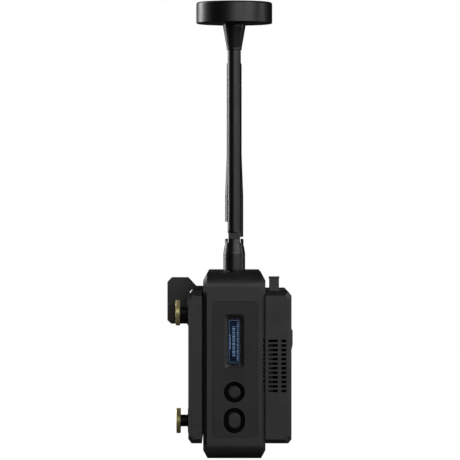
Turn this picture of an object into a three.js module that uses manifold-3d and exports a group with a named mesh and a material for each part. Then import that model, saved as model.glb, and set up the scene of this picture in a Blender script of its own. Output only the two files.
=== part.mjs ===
// A portable wireless video receiver: a slim rectangular electronics housing that stands on its bottom
// face, with a display and two buttons on one narrow end, connectors on the other, five folding antennas
// in a row on top, a three-stud plate on one wide side and a keyhole battery plate on the other.
//
// Millimetres, +Z up. The origin is the middle of the housing's bottom face. The display end faces -Y,
// the stud plate faces -X and the battery plate faces +X.

import * as THREE from 'three';
import { mergeVertices } from 'three/addons/utils/BufferGeometryUtils.js';
import Module from 'manifold-3d';

const wasm = await Module();
wasm.setup();
const { Manifold, Mesh: ManifoldMesh } = wasm;

// ---- driving dimensions ------------------------------

const HALF_WIDTH = 15.3;
const HEIGHT = 91.6;
const HALF_LENGTH = 71;
const CAP_JOINT = 62; // where both end caps meet the housing tube, measured from the middle
const WALL = 2.1;
const END_WALL = 2.4;
const FLOOR_WALL = 2.4;
const CORNER = { across: 2.2, up: 4.2 }; // the long chamfer on the housing's four long edges
const ROLL = { frontTop: 7.5, rearTop: 4.6, bottom: 7 }; // radius of the end caps' rolled edges
const END_BEVEL = 1.9; // bevel on the end caps' upright edges, which follows the rolls

const PANEL = { left: -10.6, right: 11.3, low: 10.8, high: 76.9, corner: 2.5, thick: 0.8, groove: 0.35 };
const WINDOW = { halfWidth: 4.85, low: 44.4, high: 70.9, corner: 1.5, slope: 1.4 };
const SELECT = { z: 32.7, halfWidth: 5.2, halfHeight: 5.2, capHalfWidth: 3, capHalfHeight: 3 };
const MENU = { z: 18.8, halfWidth: 5.3, halfHeight: 6.3, capHalfWidth: 3, capHalfHeight: 3.9 };

const VENT = { rows: 12, low: 33.3, pitch: 2.23, height: 1.36 };
const VENT_COLUMNS = [[16.7, 21.4], [23.05, 25.5]]; // X ranges of the battery plate's vents
const CAP_VENT = { rows: 12, low: 33.5, pitch: 2.225, height: 1.3, depth: [0.7, 7.6] };

const STUDS = [[-26, 70.7], [26, 70.7], [0, 15.4]]; // Y and Z of the three studs, and of the keyholes' seats
const STUD = { headRadius: 6.4, headThick: 2.2, neckRadius: 3, neckLength: 3.6 };
const STUD_SHANK = { radius: 1.6, length: 8 };
const PLATE_HALF_LENGTH = 70; // of the stud plate and the battery plate
const STUD_PLATE = { face: -22.6, back: -15.9, low: 7.5, high: 82, chamfer: 1.6, padHalfLength: 58 };
const STUD_BOSS = { height: 0.9, radius: 6.35 };
const TERMINAL_BLOCK = { left: -33.7, low: 64.9, high: 88.1, shelf: 83.7, chamfer: 1.9 };
const BATTERY_PLATE = { face: 28.1, low: 7.5, high: 82, wall: 2.2, chamfer: 1.6 };
// low pads near both ends of the battery plate's face, which the battery bears on
const BEARING_PAD = { along: [44, 60], low: 55.7, high: 62.6, slope: 3, height: 0.7 };
const KEYHOLE = { entryRadius: 7, slotRadius: 3.3, lift: 9.5 };
const NOTCH = { halfLength: 15, floor: 64, depth: 11.5, wall: 2 };
const TERMINAL = { halfLength: 14, spread: 9.5, standoff: 6 }; // the contacts' places from the plate's face
const SOCKET = { boreRadius: 1.95, radius: 2.7, length: 10 };
const PIN = { radius: 1.9, below: 5, above: 10, tip: 0.8 };

const RELEASE = { low: 76, high: 89.1, left: 17.2, right: 22.5, y: -37.9, halfLength: 3.4, gap: 0.3 };
const RELEASE_TRAVEL = 3.5;
const SLIDER = { left: 17.2, right: 19.2, footLow: 20, footHigh: 33 };
const LATCH = { left: 19.7, right: 27.2, y: [1.6, 5.6], z: [22.6, 27.2] };
const SPRING = { radius: 1.7, wire: 0.3, turns: 5, height: 9.3 };

const ANTENNA_SPACING = 28;
const ANTENNAS = [-2, -1, 0, 1, 2].map((place) => place * ANTENNA_SPACING);
const BASE = { low: 92, high: 107.9, shoulder: 100.6, radius: 5.4, tipRadius: 4.5 };
const BASE_BORE = { radius: 3.4, top: 98.2 };
const ELBOW = { z: 105, pinRadius: 1, holeRadius: 1.15, slotHalf: 3.1, slotFloor: 102.1, earRadius: 2.95 };
const TONGUE = { half: 2.9, radius: 2.6 };
const WHIP = { low: 108.7, reliefTop: 116.5, taperLow: 129.4, taperHigh: 149.8, top: 196.6 };
const WHIP_RADIUS = { low: 4.55, high: 3.75 };
const MAST = { low: 110.7, top: 201.1, coneTop: 212.5, radius: 3.27, collar: 3.73, coneRadius: 5.55 };
const DISC = { low: 214, high: 224.6, radius: 18.75, wall: 1.6 };

// how many facets a full turn has, on large, middling and small round pieces
const FACETS = { large: 32, middle: 20, socket: 16, small: 12, tiny: 8 };

const FAN = { y: -24, z: 46, half: 15, left: 4.6, right: 12.6, boreRadius: 13.6, blades: 7, spokes: 3 };
const HEATSINK = { fins: 7, pitch: 5, finHalf: 0.6 };

// the connectors on the rear end, from the top down: switch, power, data, display, and two video sockets
const REAR = { switchZ: 82, inletZ: 70.5, usbZ: 58.5, hdmiZ: 46, sdiZ: [30, 13.5], roundHole: 5.3 };
const HDMI = { halfWidth: 2.9, halfHeight: 7.6, wall: 0.5 };
const USB = { halfWidth: 1.75, halfHeight: 4.6 };
const TRIPOD = { y: 26, holeRadius: 4.3 };

// ---- geometry helpers ------------------------------

/** Turns a closed three.js geometry into a solid that can be joined and cut. */
function solid(geometry) {
  const bare = geometry.clone();
  bare.deleteAttribute('normal');
  bare.deleteAttribute('uv');
  const merged = mergeVertices(bare, 1e-5);
  const positions = merged.getAttribute('position').array;
  const index = merged.getIndex().array;
  const triangles = [];
  for (let i = 0; i < index.length; i += 3) {
    const [a, b, c] = [index[i], index[i + 1], index[i + 2]];
    if (a !== b && b !== c && c !== a) triangles.push(a, b, c);
  }
  const made = build(positions, triangles);
  return made.volume() < 0 ? build(positions, triangles.reverse()) : made;
}

function build(positions, triangles) {
  const mesh = new ManifoldMesh({
    numProp: 3,
    vertProperties: Float32Array.from(positions),
    triVerts: Uint32Array.from(triangles),
  });
  return new Manifold(mesh);
}

function geometryOf(manifold) {
  const { vertProperties, triVerts } = manifold.getMesh();
  const geometry = new THREE.BufferGeometry();
  geometry.setAttribute('position', new THREE.BufferAttribute(vertProperties, 3));
  geometry.setIndex(new THREE.BufferAttribute(triVerts, 1));
  const faceted = geometry.toNonIndexed();
  faceted.computeVertexNormals();
  return faceted;
}

function union(first, ...others) {
  return others.reduce((whole, piece) => whole.add(piece), first);
}

function cut(whole, ...cutters) {
  return cutters.reduce((rest, cutter) => rest.subtract(cutter), whole);
}

function box([x0, x1], [y0, y1], [z0, z1]) {
  const geometry = new THREE.BoxGeometry(x1 - x0, y1 - y0, z1 - z0);
  geometry.translate((x0 + x1) / 2, (y0 + y1) / 2, (z0 + z1) / 2);
  return solid(geometry);
}

/** A solid moved or turned to another place. */
function placed(manifold, matrix) {
  return solid(geometryOf(manifold).applyMatrix4(matrix));
}

function turnAbout(axis, degrees) {
  return new THREE.Matrix4().makeRotationAxis(axis, THREE.MathUtils.degToRad(degrees));
}

function moveTo(x, y, z) {
  return new THREE.Matrix4().makeTranslation(x, y, z);
}

/** A round bar along an axis; (u, v) is its middle in the other two coordinates, in X, Y, Z order. */
function rod(axis, radius, [from, to], [u, v], segments = FACETS.small) {
  const geometry = new THREE.CylinderGeometry(radius, radius, to - from, segments);
  const middle = (from + to) / 2;
  if (axis === 'x') geometry.rotateZ(-Math.PI / 2).translate(middle, u, v);
  if (axis === 'y') geometry.translate(u, middle, v);
  if (axis === 'z') geometry.rotateX(Math.PI / 2).translate(u, v, middle);
  return solid(geometry);
}

/** A solid of revolution about the upright line through (x, y); the outline holds [radius, height] points. */
function turned(outline, segments = FACETS.small, x = 0, y = 0) {
  const points = outline.map(([radius, height]) => new THREE.Vector2(radius, height));
  const geometry = new THREE.LatheGeometry(points, segments);
  geometry.rotateX(Math.PI / 2).translate(x, y, 0);
  return solid(geometry);
}

const X_AXIS = new THREE.Vector3(1, 0, 0);
const Y_AXIS = new THREE.Vector3(0, 1, 0);
const Z_AXIS = new THREE.Vector3(0, 0, 1);

const PLANES = {
  x: new THREE.Matrix4().makeBasis(Y_AXIS, Z_AXIS, X_AXIS),
  y: new THREE.Matrix4().makeBasis(X_AXIS, Z_AXIS, Y_AXIS.clone().negate()),
  z: new THREE.Matrix4(),
};

/** An outline drawn in the plane square to an axis (YZ, XZ or XY) and drawn out along it. */
function drawn(axis, shape, [from, to], options = {}) {
  const settings = { depth: to - from, bevelEnabled: false, curveSegments: 4, ...options };
  const geometry = new THREE.ExtrudeGeometry(shape, settings);
  geometry.applyMatrix4(PLANES[axis]);
  const start = axis === 'y' ? to : from;
  geometry.translate(axis === 'x' ? start : 0, axis === 'y' ? start : 0, axis === 'z' ? start : 0);
  return solid(geometry);
}

function polygon(points) {
  return new THREE.Shape(points.map(([u, v]) => new THREE.Vector2(u, v)));
}

function roundedRectangle([u0, u1], [v0, v1], radius) {
  const shape = new THREE.Shape();
  shape.moveTo(u0 + radius, v0);
  shape.lineTo(u1 - radius, v0);
  shape.absarc(u1 - radius, v0 + radius, radius, -Math.PI / 2, 0);
  shape.lineTo(u1, v1 - radius);
  shape.absarc(u1 - radius, v1 - radius, radius, 0, Math.PI / 2);
  shape.lineTo(u0 + radius, v1);
  shape.absarc(u0 + radius, v1 - radius, radius, Math.PI / 2, Math.PI);
  shape.lineTo(u0, v0 + radius);
  shape.absarc(u0 + radius, v0 + radius, radius, Math.PI, Math.PI * 1.5);
  return shape;
}

function chamferedRectangle([u0, u1], [v0, v1], across, up = across) {
  return polygon([
    [u0 + across, v0], [u1 - across, v0], [u1, v0 + up], [u1, v1 - up],
    [u1 - across, v1], [u0 + across, v1], [u0, v1 - up], [u0, v0 + up],
  ]);
}

// ---- materials ------------------------------

function finish(color, roughness, metalness) {
  return new THREE.MeshStandardMaterial({ color, roughness, metalness });
}

const MATERIALS = {
  anodised: finish(0x1c1c1d, 0.5, 0.3),
  blackPlastic: finish(0x1a1a1a, 0.55, 0),
  panel: finish(0x161617, 0.6, 0),
  keycap: finish(0x1d1d1d, 0.7, 0),
  glass: finish(0x05070c, 0.08, 0),
  oled: finish(0x0b1530, 0.3, 0),
  antenna: finish(0x181818, 0.5, 0),
  brass: finish(0xc9a24a, 0.3, 1),
  steel: finish(0xb4b4b4, 0.35, 1),
  circuit: finish(0x12402a, 0.6, 0),
  tin: finish(0x9a9c9e, 0.4, 1),
  fan: finish(0x202022, 0.5, 0),
};

const receiver = new THREE.Group();

/** Adds one named piece to the model, in a group that may carry a placing of its own. */
function add(name, manifold, material, group = receiver) {
  const mesh = new THREE.Mesh(geometryOf(manifold), material);
  mesh.name = name;
  group.add(mesh);
}

// ---- housing and end caps ------------------------------

const INSIDE_X = [-HALF_WIDTH + WALL, HALF_WIDTH - WALL];
const INSIDE_Z = [FLOOR_WALL, HEIGHT - FLOOR_WALL];

function housingOutline() {
  return chamferedRectangle([-HALF_WIDTH, HALF_WIDTH], [0, HEIGHT], CORNER.across, CORNER.up);
}

function mainHousing() {
  const length = [-CAP_JOINT, CAP_JOINT];
  const past = [-CAP_JOINT - 1, CAP_JOINT + 1];
  const tube = cut(drawn('y', housingOutline(), length), box(INSIDE_X, past, INSIDE_Z));
  const connectorHoles = ANTENNAS.map((y) => rod('z', 3.3, [HEIGHT - 4, HEIGHT + 1], [0, y]));
  const sideWall = [INSIDE_X[1] - 1, HALF_WIDTH + 1];
  const fanOpening = rod('x', FAN.boreRadius - 0.4, sideWall, [FAN.y, FAN.z], FACETS.middle);
  const insertHole = rod('z', TRIPOD.holeRadius, [-1, FLOOR_WALL + 1], [0, TRIPOD.y]);
  return cut(tube, ...connectorHoles, fanOpening, insertHole);
}

/** The end cap's side view, shrunk by a wall's thickness for the hollow inside it. */
function capProfile(topRoll, shrink, back) {
  const [front, low, high] = [-HALF_LENGTH + shrink, shrink, HEIGHT - shrink];
  const [upper, lower] = [topRoll - shrink, ROLL.bottom - shrink];
  const profile = new THREE.Shape();
  profile.moveTo(back, low);
  profile.lineTo(back, high);
  profile.absarc(front + upper, high - upper, upper, Math.PI / 2, Math.PI);
  profile.absarc(front + lower, low + lower, lower, Math.PI, Math.PI * 1.5);
  return profile;
}

/** One end of the housing: a cup with rolled and bevelled edges, made at the display end. */
function endCap(topRoll) {
  const bevel = {
    bevelEnabled: true, bevelThickness: END_BEVEL, bevelSize: END_BEVEL, bevelOffset: -END_BEVEL, bevelSegments: 1,
  };
  const across = [-HALF_WIDTH + END_BEVEL, HALF_WIDTH - END_BEVEL];
  const rolled = drawn('x', capProfile(topRoll, 0, -CAP_JOINT + END_BEVEL + 1), across, bevel);
  const block = drawn('y', housingOutline(), [-HALF_LENGTH, -CAP_JOINT]).intersect(rolled);
  return cut(block, drawn('x', capProfile(topRoll, END_WALL, -CAP_JOINT + 1), INSIDE_X));
}

/** An upright slot with round ends, centred on X = 0 at height z. */
function pill(halfWidth, halfHeight, z) {
  return roundedRectangle([-halfWidth, halfWidth], [z - halfHeight, z + halfHeight], halfWidth - 0.01);
}

function wellOutline(key) {
  return pill(key.halfWidth, key.halfHeight, key.z);
}

function keyOutline(key, extra = 0) {
  return pill(key.capHalfWidth + extra, key.capHalfHeight + extra, key.z);
}

function windowOutline(shrink = 0) {
  const across = [-WINDOW.halfWidth + shrink, WINDOW.halfWidth - shrink];
  return roundedRectangle(across, [WINDOW.low + shrink, WINDOW.high - shrink], WINDOW.corner);
}

function panelOutline(grow = 0) {
  const across = [PANEL.left - grow, PANEL.right + grow];
  return roundedRectangle(across, [PANEL.low - grow, PANEL.high + grow], PANEL.corner + grow);
}

const FRONT = -HALF_LENGTH;
const PANEL_SEAT = FRONT + PANEL.thick;
const FRONT_INNER = FRONT + END_WALL;

function frontCap() {
  const seat = drawn('y', panelOutline(PANEL.groove), [FRONT - 1, PANEL_SEAT]);
  const sloped = { bevelEnabled: true, bevelThickness: 1.5, bevelSize: WINDOW.slope, bevelSegments: 1 };
  const windowCut = drawn('y', windowOutline(WINDOW.slope), [FRONT - 3, PANEL_SEAT], sloped);
  const through = drawn('y', windowOutline(WINDOW.slope), [PANEL_SEAT, FRONT_INNER + 1]);
  const keys = [SELECT, MENU].map((key) => drawn('y', keyOutline(key, 0.35), [FRONT - 1, FRONT_INNER + 1]));
  const wells = [SELECT, MENU].map((key) => drawn('y', wellOutline(key), [FRONT - 1, FRONT_INNER - 0.8]));
  const vents = Array.from({ length: CAP_VENT.rows }, (_, row) => {
    const middle = CAP_VENT.low + row * CAP_VENT.pitch;
    const tall = [middle - CAP_VENT.height / 2, middle + CAP_VENT.height / 2];
    return box([INSIDE_X[1] - 0.5, HALF_WIDTH + 1], CAP_VENT.depth.map((deep) => FRONT + deep), tall);
  });
  return cut(endCap(ROLL.frontTop), seat, windowCut, through, ...keys, ...wells, ...vents);
}

function frontPanel() {
  const plate = drawn('y', panelOutline(), [FRONT, PANEL_SEAT]);
  const past = [FRONT - 1, PANEL_SEAT + 1];
  const wells = [SELECT, MENU].map((key) => drawn('y', wellOutline(key), past));
  return cut(plate, drawn('y', windowOutline(), past), ...wells);
}

function displayWindow() {
  return box([-6, 6], [FRONT_INNER, FRONT_INNER + 0.9], [WINDOW.low - 1, WINDOW.high + 1]);
}

function displayModule() {
  return box([-6.5, 6.5], [FRONT_INNER + 1, FRONT_INNER + 3.4], [WINDOW.low - 2, WINDOW.high + 2]);
}

function button(key) {
  const crown = drawn('y', keyOutline(key), [FRONT + 0.35, FRONT_INNER + 0.1]);
  const flange = drawn('y', keyOutline(key, 1.2), [FRONT_INNER + 0.1, FRONT_INNER + 1.1]);
  const foot = rod('y', 1.6, [FRONT_INNER + 1.1, FRONT_INNER + 1.9], [0, key.z]);
  return union(crown, flange, foot);
}

function buttonBoard() {
  const face = FRONT_INNER + 4.4;
  const board = box([-9, 9], [face, face + 1.2], [11, 40]);
  const switches = [SELECT, MENU].map((key) => box([-3, 3], [face - 1.3, face], [key.z - 3, key.z + 3]));
  return union(board, ...switches);
}

function rearCap() {
  const through = [CAP_JOINT, HALF_LENGTH + 1];
  const around = (halfWidth, halfHeight, z, radius) =>
    drawn('y', roundedRectangle([-halfWidth, halfWidth], [z - halfHeight, z + halfHeight], radius), through);
  const cuts = [
    around(HDMI.halfWidth + 0.2, HDMI.halfHeight + 0.2, REAR.hdmiZ, 0.6),
    around(USB.halfWidth + 0.2, USB.halfHeight + 0.2, REAR.usbZ, 1.6),
    around(1.6, 4.2, REAR.switchZ, 0.8),
    ...[REAR.inletZ, ...REAR.sdiZ].map((z) => rod('y', REAR.roundHole, through, [0, z], FACETS.middle)),
  ];
  return cut(placed(endCap(ROLL.rearTop), turnAbout(Z_AXIS, 180)), ...cuts);
}

/** Lays an upright turned piece down so that it points out of the rear end at the given height. */
function facingRear(upright, z) {
  return placed(upright, moveTo(0, 0, z).multiply(turnAbout(X_AXIS, -90)));
}

/** A coaxial bayonet socket: a barrel with a bore, a centre insulator and two locking lugs. */
function sdiConnector(z) {
  const outline = [
    [0, 58], [4.9, 58], [4.9, 71.2], [6.4, 71.2], [6.4, 73], [4.8, 73], [4.8, 80.4], [4.05, 80.4],
    [4.05, 72], [2.4, 72], [2.4, 78.5], [0.5, 78.5], [0.5, 74], [0, 74],
  ];
  const lugs = [[-5.5, -4.4], [4.4, 5.5]].map((reach) => rod('x', 1, reach, [77.6, z], FACETS.tiny));
  return union(facingRear(turned(outline, FACETS.socket), z), ...lugs);
}

function hdmiConnector() {
  const { halfWidth, halfHeight, wall } = HDMI;
  const z = REAR.hdmiZ;
  const outer = chamferedRectangle([-halfWidth, halfWidth], [z - halfHeight, z + halfHeight], 0.4);
  const [across, up] = [halfWidth - wall, halfHeight - wall];
  const mouth = box([-across, across], [61, HALF_LENGTH + 1], [z - up, z + up]);
  const shell = cut(drawn('y', outer, [59, HALF_LENGTH]), mouth);
  return shell.add(box([-0.45, 0.45], [60.5, HALF_LENGTH - 1.5], [z - 5.6, z + 5.6]));
}

function usbConnector() {
  const z = REAR.usbZ;
  const ring = (shrink) => pill(USB.halfWidth - shrink, USB.halfHeight - shrink, z);
  const shell = cut(drawn('y', ring(0), [61, HALF_LENGTH]), drawn('y', ring(0.35), [62.5, HALF_LENGTH + 1]));
  return shell.add(box([-0.35, 0.35], [62, HALF_LENGTH - 1], [z - 3.3, z + 3.3]));
}

/** A round locking power socket with two contacts in its bore. */
function powerInlet() {
  const outline = [
    [0, 58], [4.9, 58], [4.9, 71.2], [6.6, 71.2], [6.6, 72.6],
    [5, 72.6], [5, 73.4], [3.7, 73.4], [3.7, 66], [0, 66],
  ];
  const contacts = [-1.3, 1.3].map((x) => rod('y', 0.65, [65.5, 71.5], [x, REAR.inletZ], FACETS.tiny));
  return union(facingRear(turned(outline, FACETS.socket), REAR.inletZ), ...contacts);
}

function powerSwitch() {
  const z = REAR.switchZ;
  const lever = box([-1.3, 1.3], [68, HALF_LENGTH + 1.4], [z - 3.6, z - 0.6]);
  return lever.add(box([-2.6, 2.6], [66.4, 68], [z - 5, z + 0.8]));
}

/** A threaded insert in the bottom, held from inside by its flange. */
function tripodInsert() {
  const outline = [
    [2.6, 0.1], [4, 0.1], [4, 2.5], [5.4, 2.5], [5.4, 4], [4, 4], [4, 9], [2.6, 9], [2.6, 0.1],
  ];
  return turned(outline, FACETS.small, 0, TRIPOD.y);
}

// ---- electronics inside ------------------------------

function heatsink() {
  const { fins, pitch, finHalf } = HEATSINK;
  const half = ((fins - 1) * pitch) / 2;
  const tall = [FAN.z - FAN.half, FAN.z + FAN.half];
  const base = box([-7.6, -5], [FAN.y - half - 1, FAN.y + half + 1], tall);
  const blades = Array.from({ length: fins }, (_, i) => {
    const y = FAN.y - half + i * pitch;
    return box([-5.2, 3.6], [y - finHalf, y + finHalf], tall);
  });
  return union(base, ...blades);
}

function shieldCan() {
  const outer = box([0.8, 4.6], [10, 52], [38, 78]);
  return cut(outer, box([0, 4.2], [10.4, 51.6], [38.4, 77.6]));
}

function fanFrame() {
  const { y, z, half, left, right, boreRadius } = FAN;
  const outline = roundedRectangle([y - half, y + half], [z - half, z + half], 2);
  const bore = rod('x', boreRadius, [left - 1, right + 1], [y, z], FACETS.middle);
  const spoke = box([-0.5, 0.5], [5, boreRadius + 0.6], [-0.6, 0.6]);
  const spokes = Array.from({ length: FAN.spokes }, (_, i) => {
    const turn = turnAbout(X_AXIS, 30 + (i * 360) / FAN.spokes);
    return placed(spoke, moveTo(left + 0.5, y, z).multiply(turn));
  });
  const hub = rod('x', 6.4, [left, left + 1], [y, z]);
  return union(cut(drawn('x', outline, [left, right]), bore), hub, ...spokes);
}

function fanRotor() {
  const { y, z, left, boreRadius, blades } = FAN;
  const hub = rod('x', 6, [left + 1.3, left + 6.6], [y, z]);
  const blade = placed(box([-2.4, 2.4], [5.4, boreRadius - 0.8], [-0.4, 0.4]), turnAbout(Y_AXIS, 32));
  const paddles = Array.from({ length: blades }, (_, i) => {
    const turn = turnAbout(X_AXIS, (i * 360) / blades);
    return placed(blade, moveTo(left + 4, y, z).multiply(turn));
  });
  return union(hub, ...paddles);
}

// ---- stud plate on the -X side ------------------------------

/** A plate between two X values whose outward edges are chamfered all round. */
function plateBlock(face, back, [low, high], chamfer) {
  const outward = Math.sign(face);
  const inset = face - outward * chamfer;
  const half = PLATE_HALF_LENGTH;
  const plan = polygon([
    [back, -half], [inset, -half], [face, -half + chamfer],
    [face, half - chamfer], [inset, half], [back, half],
  ]);
  const side = polygon([
    [back, low], [inset, low], [face, low + chamfer],
    [face, high - chamfer], [inset, high], [back, high],
  ]);
  return drawn('z', plan, [low, high]).intersect(drawn('y', side, [-half, half]));
}

const NECK_END = STUD_PLATE.face - STUD_BOSS.height - STUD.neckLength;

function studPlate() {
  const { face, back, low, high, chamfer, padHalfLength } = STUD_PLATE;
  const plate = plateBlock(face, back, [low, high], chamfer);
  const pad = box([back - 0.5, -HALF_WIDTH], [-padHalfLength, padHalfLength], [low + 5, high - 5]);
  const posts = STUDS.flatMap(([y, z]) => [
    rod('x', STUD_BOSS.radius, [face - STUD_BOSS.height, face + 1], [y, z], FACETS.middle),
    rod('x', STUD.neckRadius, [NECK_END, face], [y, z]),
  ]);
  const bores = STUDS.map(([y, z]) => rod('x', STUD_SHANK.radius + 0.1, [NECK_END - 1, back - 2], [y, z]));
  return cut(union(plate, pad, ...posts), ...bores);
}

/** A brass stud: a wide flat head on a shank that is fixed in the plate's black neck. */
function mountStud([y, z]) {
  const { radius, length } = STUD_SHANK;
  const { headRadius, headThick } = STUD;
  const outline = [
    [0, 0], [radius, 0], [radius, length], [headRadius, length],
    [headRadius, length + headThick], [0, length + headThick],
  ];
  const place = moveTo(NECK_END + length, y, z).multiply(turnAbout(Y_AXIS, -90));
  return placed(turned(outline, FACETS.middle), place);
}

const SOCKET_X = STUD_PLATE.face - TERMINAL.standoff;

function terminalBlock() {
  const { left, low, high, shelf, chamfer } = TERMINAL_BLOCK;
  const face = STUD_PLATE.face;
  const top = STUD_PLATE.high + 0.1;
  const profile = polygon([
    [left + chamfer, low], [face, low], [face, top - 1.4], [face + 1.3, top], [-HALF_WIDTH, top],
    [-HALF_WIDTH, shelf],
    [-19.3, shelf], [-23.4, high], [left + chamfer, high], [left, high - 2.1], [left, low + 1.8],
  ]);
  const block = drawn('y', profile, [-TERMINAL.halfLength, TERMINAL.halfLength]);
  const holes = [-1, 1].map((side) =>
    rod('z', SOCKET.radius + 0.1, [low - 1, low + 11], [SOCKET_X, side * TERMINAL.spread]));
  return cut(block, ...holes);
}

function terminalSocket(side) {
  const { boreRadius, radius, length } = SOCKET;
  const low = TERMINAL_BLOCK.low + 0.3;
  const floor = low + length - 1;
  const outline = [
    [0, floor], [boreRadius, floor], [boreRadius, low],
    [radius, low], [radius, low + length], [0, low + length],
  ];
  return turned(outline, FACETS.small, SOCKET_X, side * TERMINAL.spread);
}

// ---- battery plate on the +X side ------------------------------

const PLATE_INNER = BATTERY_PLATE.face - BATTERY_PLATE.wall;

function keyhole([y, z]) {
  const past = [PLATE_INNER - 1, BATTERY_PLATE.face + 1];
  const entry = rod('x', KEYHOLE.entryRadius, [20.4, past[1]], [y, z + KEYHOLE.lift], FACETS.middle);
  const seat = rod('x', KEYHOLE.slotRadius, past, [y, z]);
  const slot = box(past, [y - KEYHOLE.slotRadius, y + KEYHOLE.slotRadius], [z, z + KEYHOLE.lift]);
  return union(entry, seat, slot);
}

/** Cooling slots through the wall at the display end. */
function sideVents() {
  const wall = [-PLATE_HALF_LENGTH - 1, -PLATE_HALF_LENGTH + BATTERY_PLATE.wall + 0.5];
  const cutters = [];
  for (let row = 0; row < VENT.rows; row += 1) {
    const middle = VENT.low + row * VENT.pitch;
    const tall = [middle - VENT.height / 2, middle + VENT.height / 2];
    for (const column of VENT_COLUMNS) cutters.push(box(column, wall, tall));
  }
  return cutters;
}

function bearingPad(side) {
  const { face } = BATTERY_PLATE;
  const { along, low, high, slope, height } = BEARING_PAD;
  const profile = polygon([[face - 1, low - slope], [face, low - slope], [face + height, low],
    [face + height, high], [face, high + 1], [face - 1, high + 1]]);
  return drawn('y', profile, side > 0 ? along : [-along[1], -along[0]]);
}

function batteryPlate() {
  const { face, low, high, wall, chamfer } = BATTERY_PLATE;
  const outer = plateBlock(face, HALF_WIDTH, [low, high], chamfer);
  const half = PLATE_HALF_LENGTH - wall;
  const { halfLength: notchHalf, floor, depth, wall: notchWall } = NOTCH;
  const past = high + 1;
  const cavity = box([HALF_WIDTH - 1, PLATE_INNER], [-half, half], [low + wall, high - wall]);
  const alongWalled = [-notchHalf - notchWall, notchHalf + notchWall];
  const notchShell = box([HALF_WIDTH - 2, face], alongWalled, [floor - notchWall, past]);
  const notch = box([face - depth, face + 1], [-notchHalf, notchHalf], [floor, past]);
  const pinHoles = [-1, 1].map((side) => {
    const place = [face - TERMINAL.standoff, side * TERMINAL.spread];
    return rod('z', PIN.radius + 0.1, [floor - notchWall - 1, floor + 1], place);
  });
  const buttonHalf = RELEASE.halfLength + RELEASE.gap;
  const buttonAcross = [RELEASE.left - RELEASE.gap, RELEASE.right + RELEASE.gap];
  const buttonAlong = [RELEASE.y - buttonHalf, RELEASE.y + buttonHalf];
  const buttonHole = box(buttonAcross, buttonAlong, [high - wall - 1, past]);
  const shell = cut(outer, cut(cavity, notchShell), notch, ...pinHoles, buttonHole);
  return union(cut(shell, ...STUDS.map(keyhole), ...sideVents()), bearingPad(-1), bearingPad(1));
}

function powerPin(side) {
  const { radius, below, above, tip } = PIN;
  const [low, high] = [NOTCH.floor - below, NOTCH.floor + above];
  const outline = [[0, low], [radius, low], [radius, high - 1], [radius - tip, high], [0, high]];
  return turned(outline, FACETS.small, BATTERY_PLATE.face - TERMINAL.standoff, side * TERMINAL.spread);
}

function releaseButton() {
  const { low, high, left, right, y, halfLength } = RELEASE;
  const lip = 1.1;
  const waist = halfLength - 0.2;
  const stem = box([left + 0.2, right - 0.2], [y - waist, y + waist], [low, high - lip]);
  return stem.add(box([left, right], [y - halfLength, y + halfLength], [high - lip, high]));
}

/** The L-shaped slider under the release button; its slot drives the latch bolt. */
function latchSlider() {
  const { left, right, footLow, footHigh } = SLIDER;
  const upright = box([left, right], [RELEASE.y - 2.6, RELEASE.y + 2.6], [footLow, RELEASE.low]);
  const foot = box([left, right], [RELEASE.y, 9], [footLow, footHigh]);
  const slotAlong = [LATCH.y[0] - 0.3, LATCH.y[1] + 0.3];
  const slotTall = [LATCH.z[0] - 0.3, LATCH.z[1] + RELEASE_TRAVEL + 0.1];
  return cut(union(upright, foot), box([left - 1, right + 1], slotAlong, slotTall));
}

function latchBolt() {
  const { left, right, y, z } = LATCH;
  const [low, high] = z;
  const wedge = polygon([[left, low], [right, low], [right, low + 1.4], [right - 1.6, high], [left, high]]);
  return drawn('y', wedge, y);
}

/** The bracket behind the lower keyhole that guides the latch bolt. */
function latchGuide() {
  const tall = [19.8, 30.2];
  const bridge = box([20.6, 22.2], [-10.5, 10.5], tall);
  const legs = [[-10.5, -8.4], [8.4, 10.5]].map((along) => box([22, PLATE_INNER], along, tall));
  const around = ([low, high]) => [low - 0.15, high + 0.15];
  return cut(union(bridge, ...legs), box([20, 23], around(LATCH.y), around(LATCH.z)));
}

class Helix extends THREE.Curve {
  getPoint(t, target = new THREE.Vector3()) {
    const turn = t * SPRING.turns * Math.PI * 2;
    return target.set(SPRING.radius * Math.cos(turn), SPRING.radius * Math.sin(turn), t * SPRING.height);
  }
}

/** A compression spring under the slider: a round wire along an upright helix. */
function releaseSpring() {
  const wire = new THREE.Shape();
  wire.absarc(0, 0, SPRING.wire, 0, Math.PI * 2);
  const settings = { steps: SPRING.turns * 8, extrudePath: new Helix(), curveSegments: 2 };
  const coil = new THREE.ExtrudeGeometry(wire, settings);
  const x = (SLIDER.left + SLIDER.right) / 2 + 0.3;
  return solid(coil.translate(x, RELEASE.y, BATTERY_PLATE.low + BATTERY_PLATE.wall + 0.5));
}

// ---- antennas ------------------------------

/** A coaxial bulkhead socket through the housing's top, with its nut inside. */
function antennaConnector(y) {
  const outline = [
    [0, 80], [1.2, 80], [1.2, 85], [4.4, 85], [4.4, HEIGHT - FLOOR_WALL], [3.1, HEIGHT - FLOOR_WALL],
    [3.1, 97.6], [2.3, 97.6], [2.3, 95], [0, 95],
  ];
  return turned(outline, FACETS.small, 0, y);
}

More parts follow.
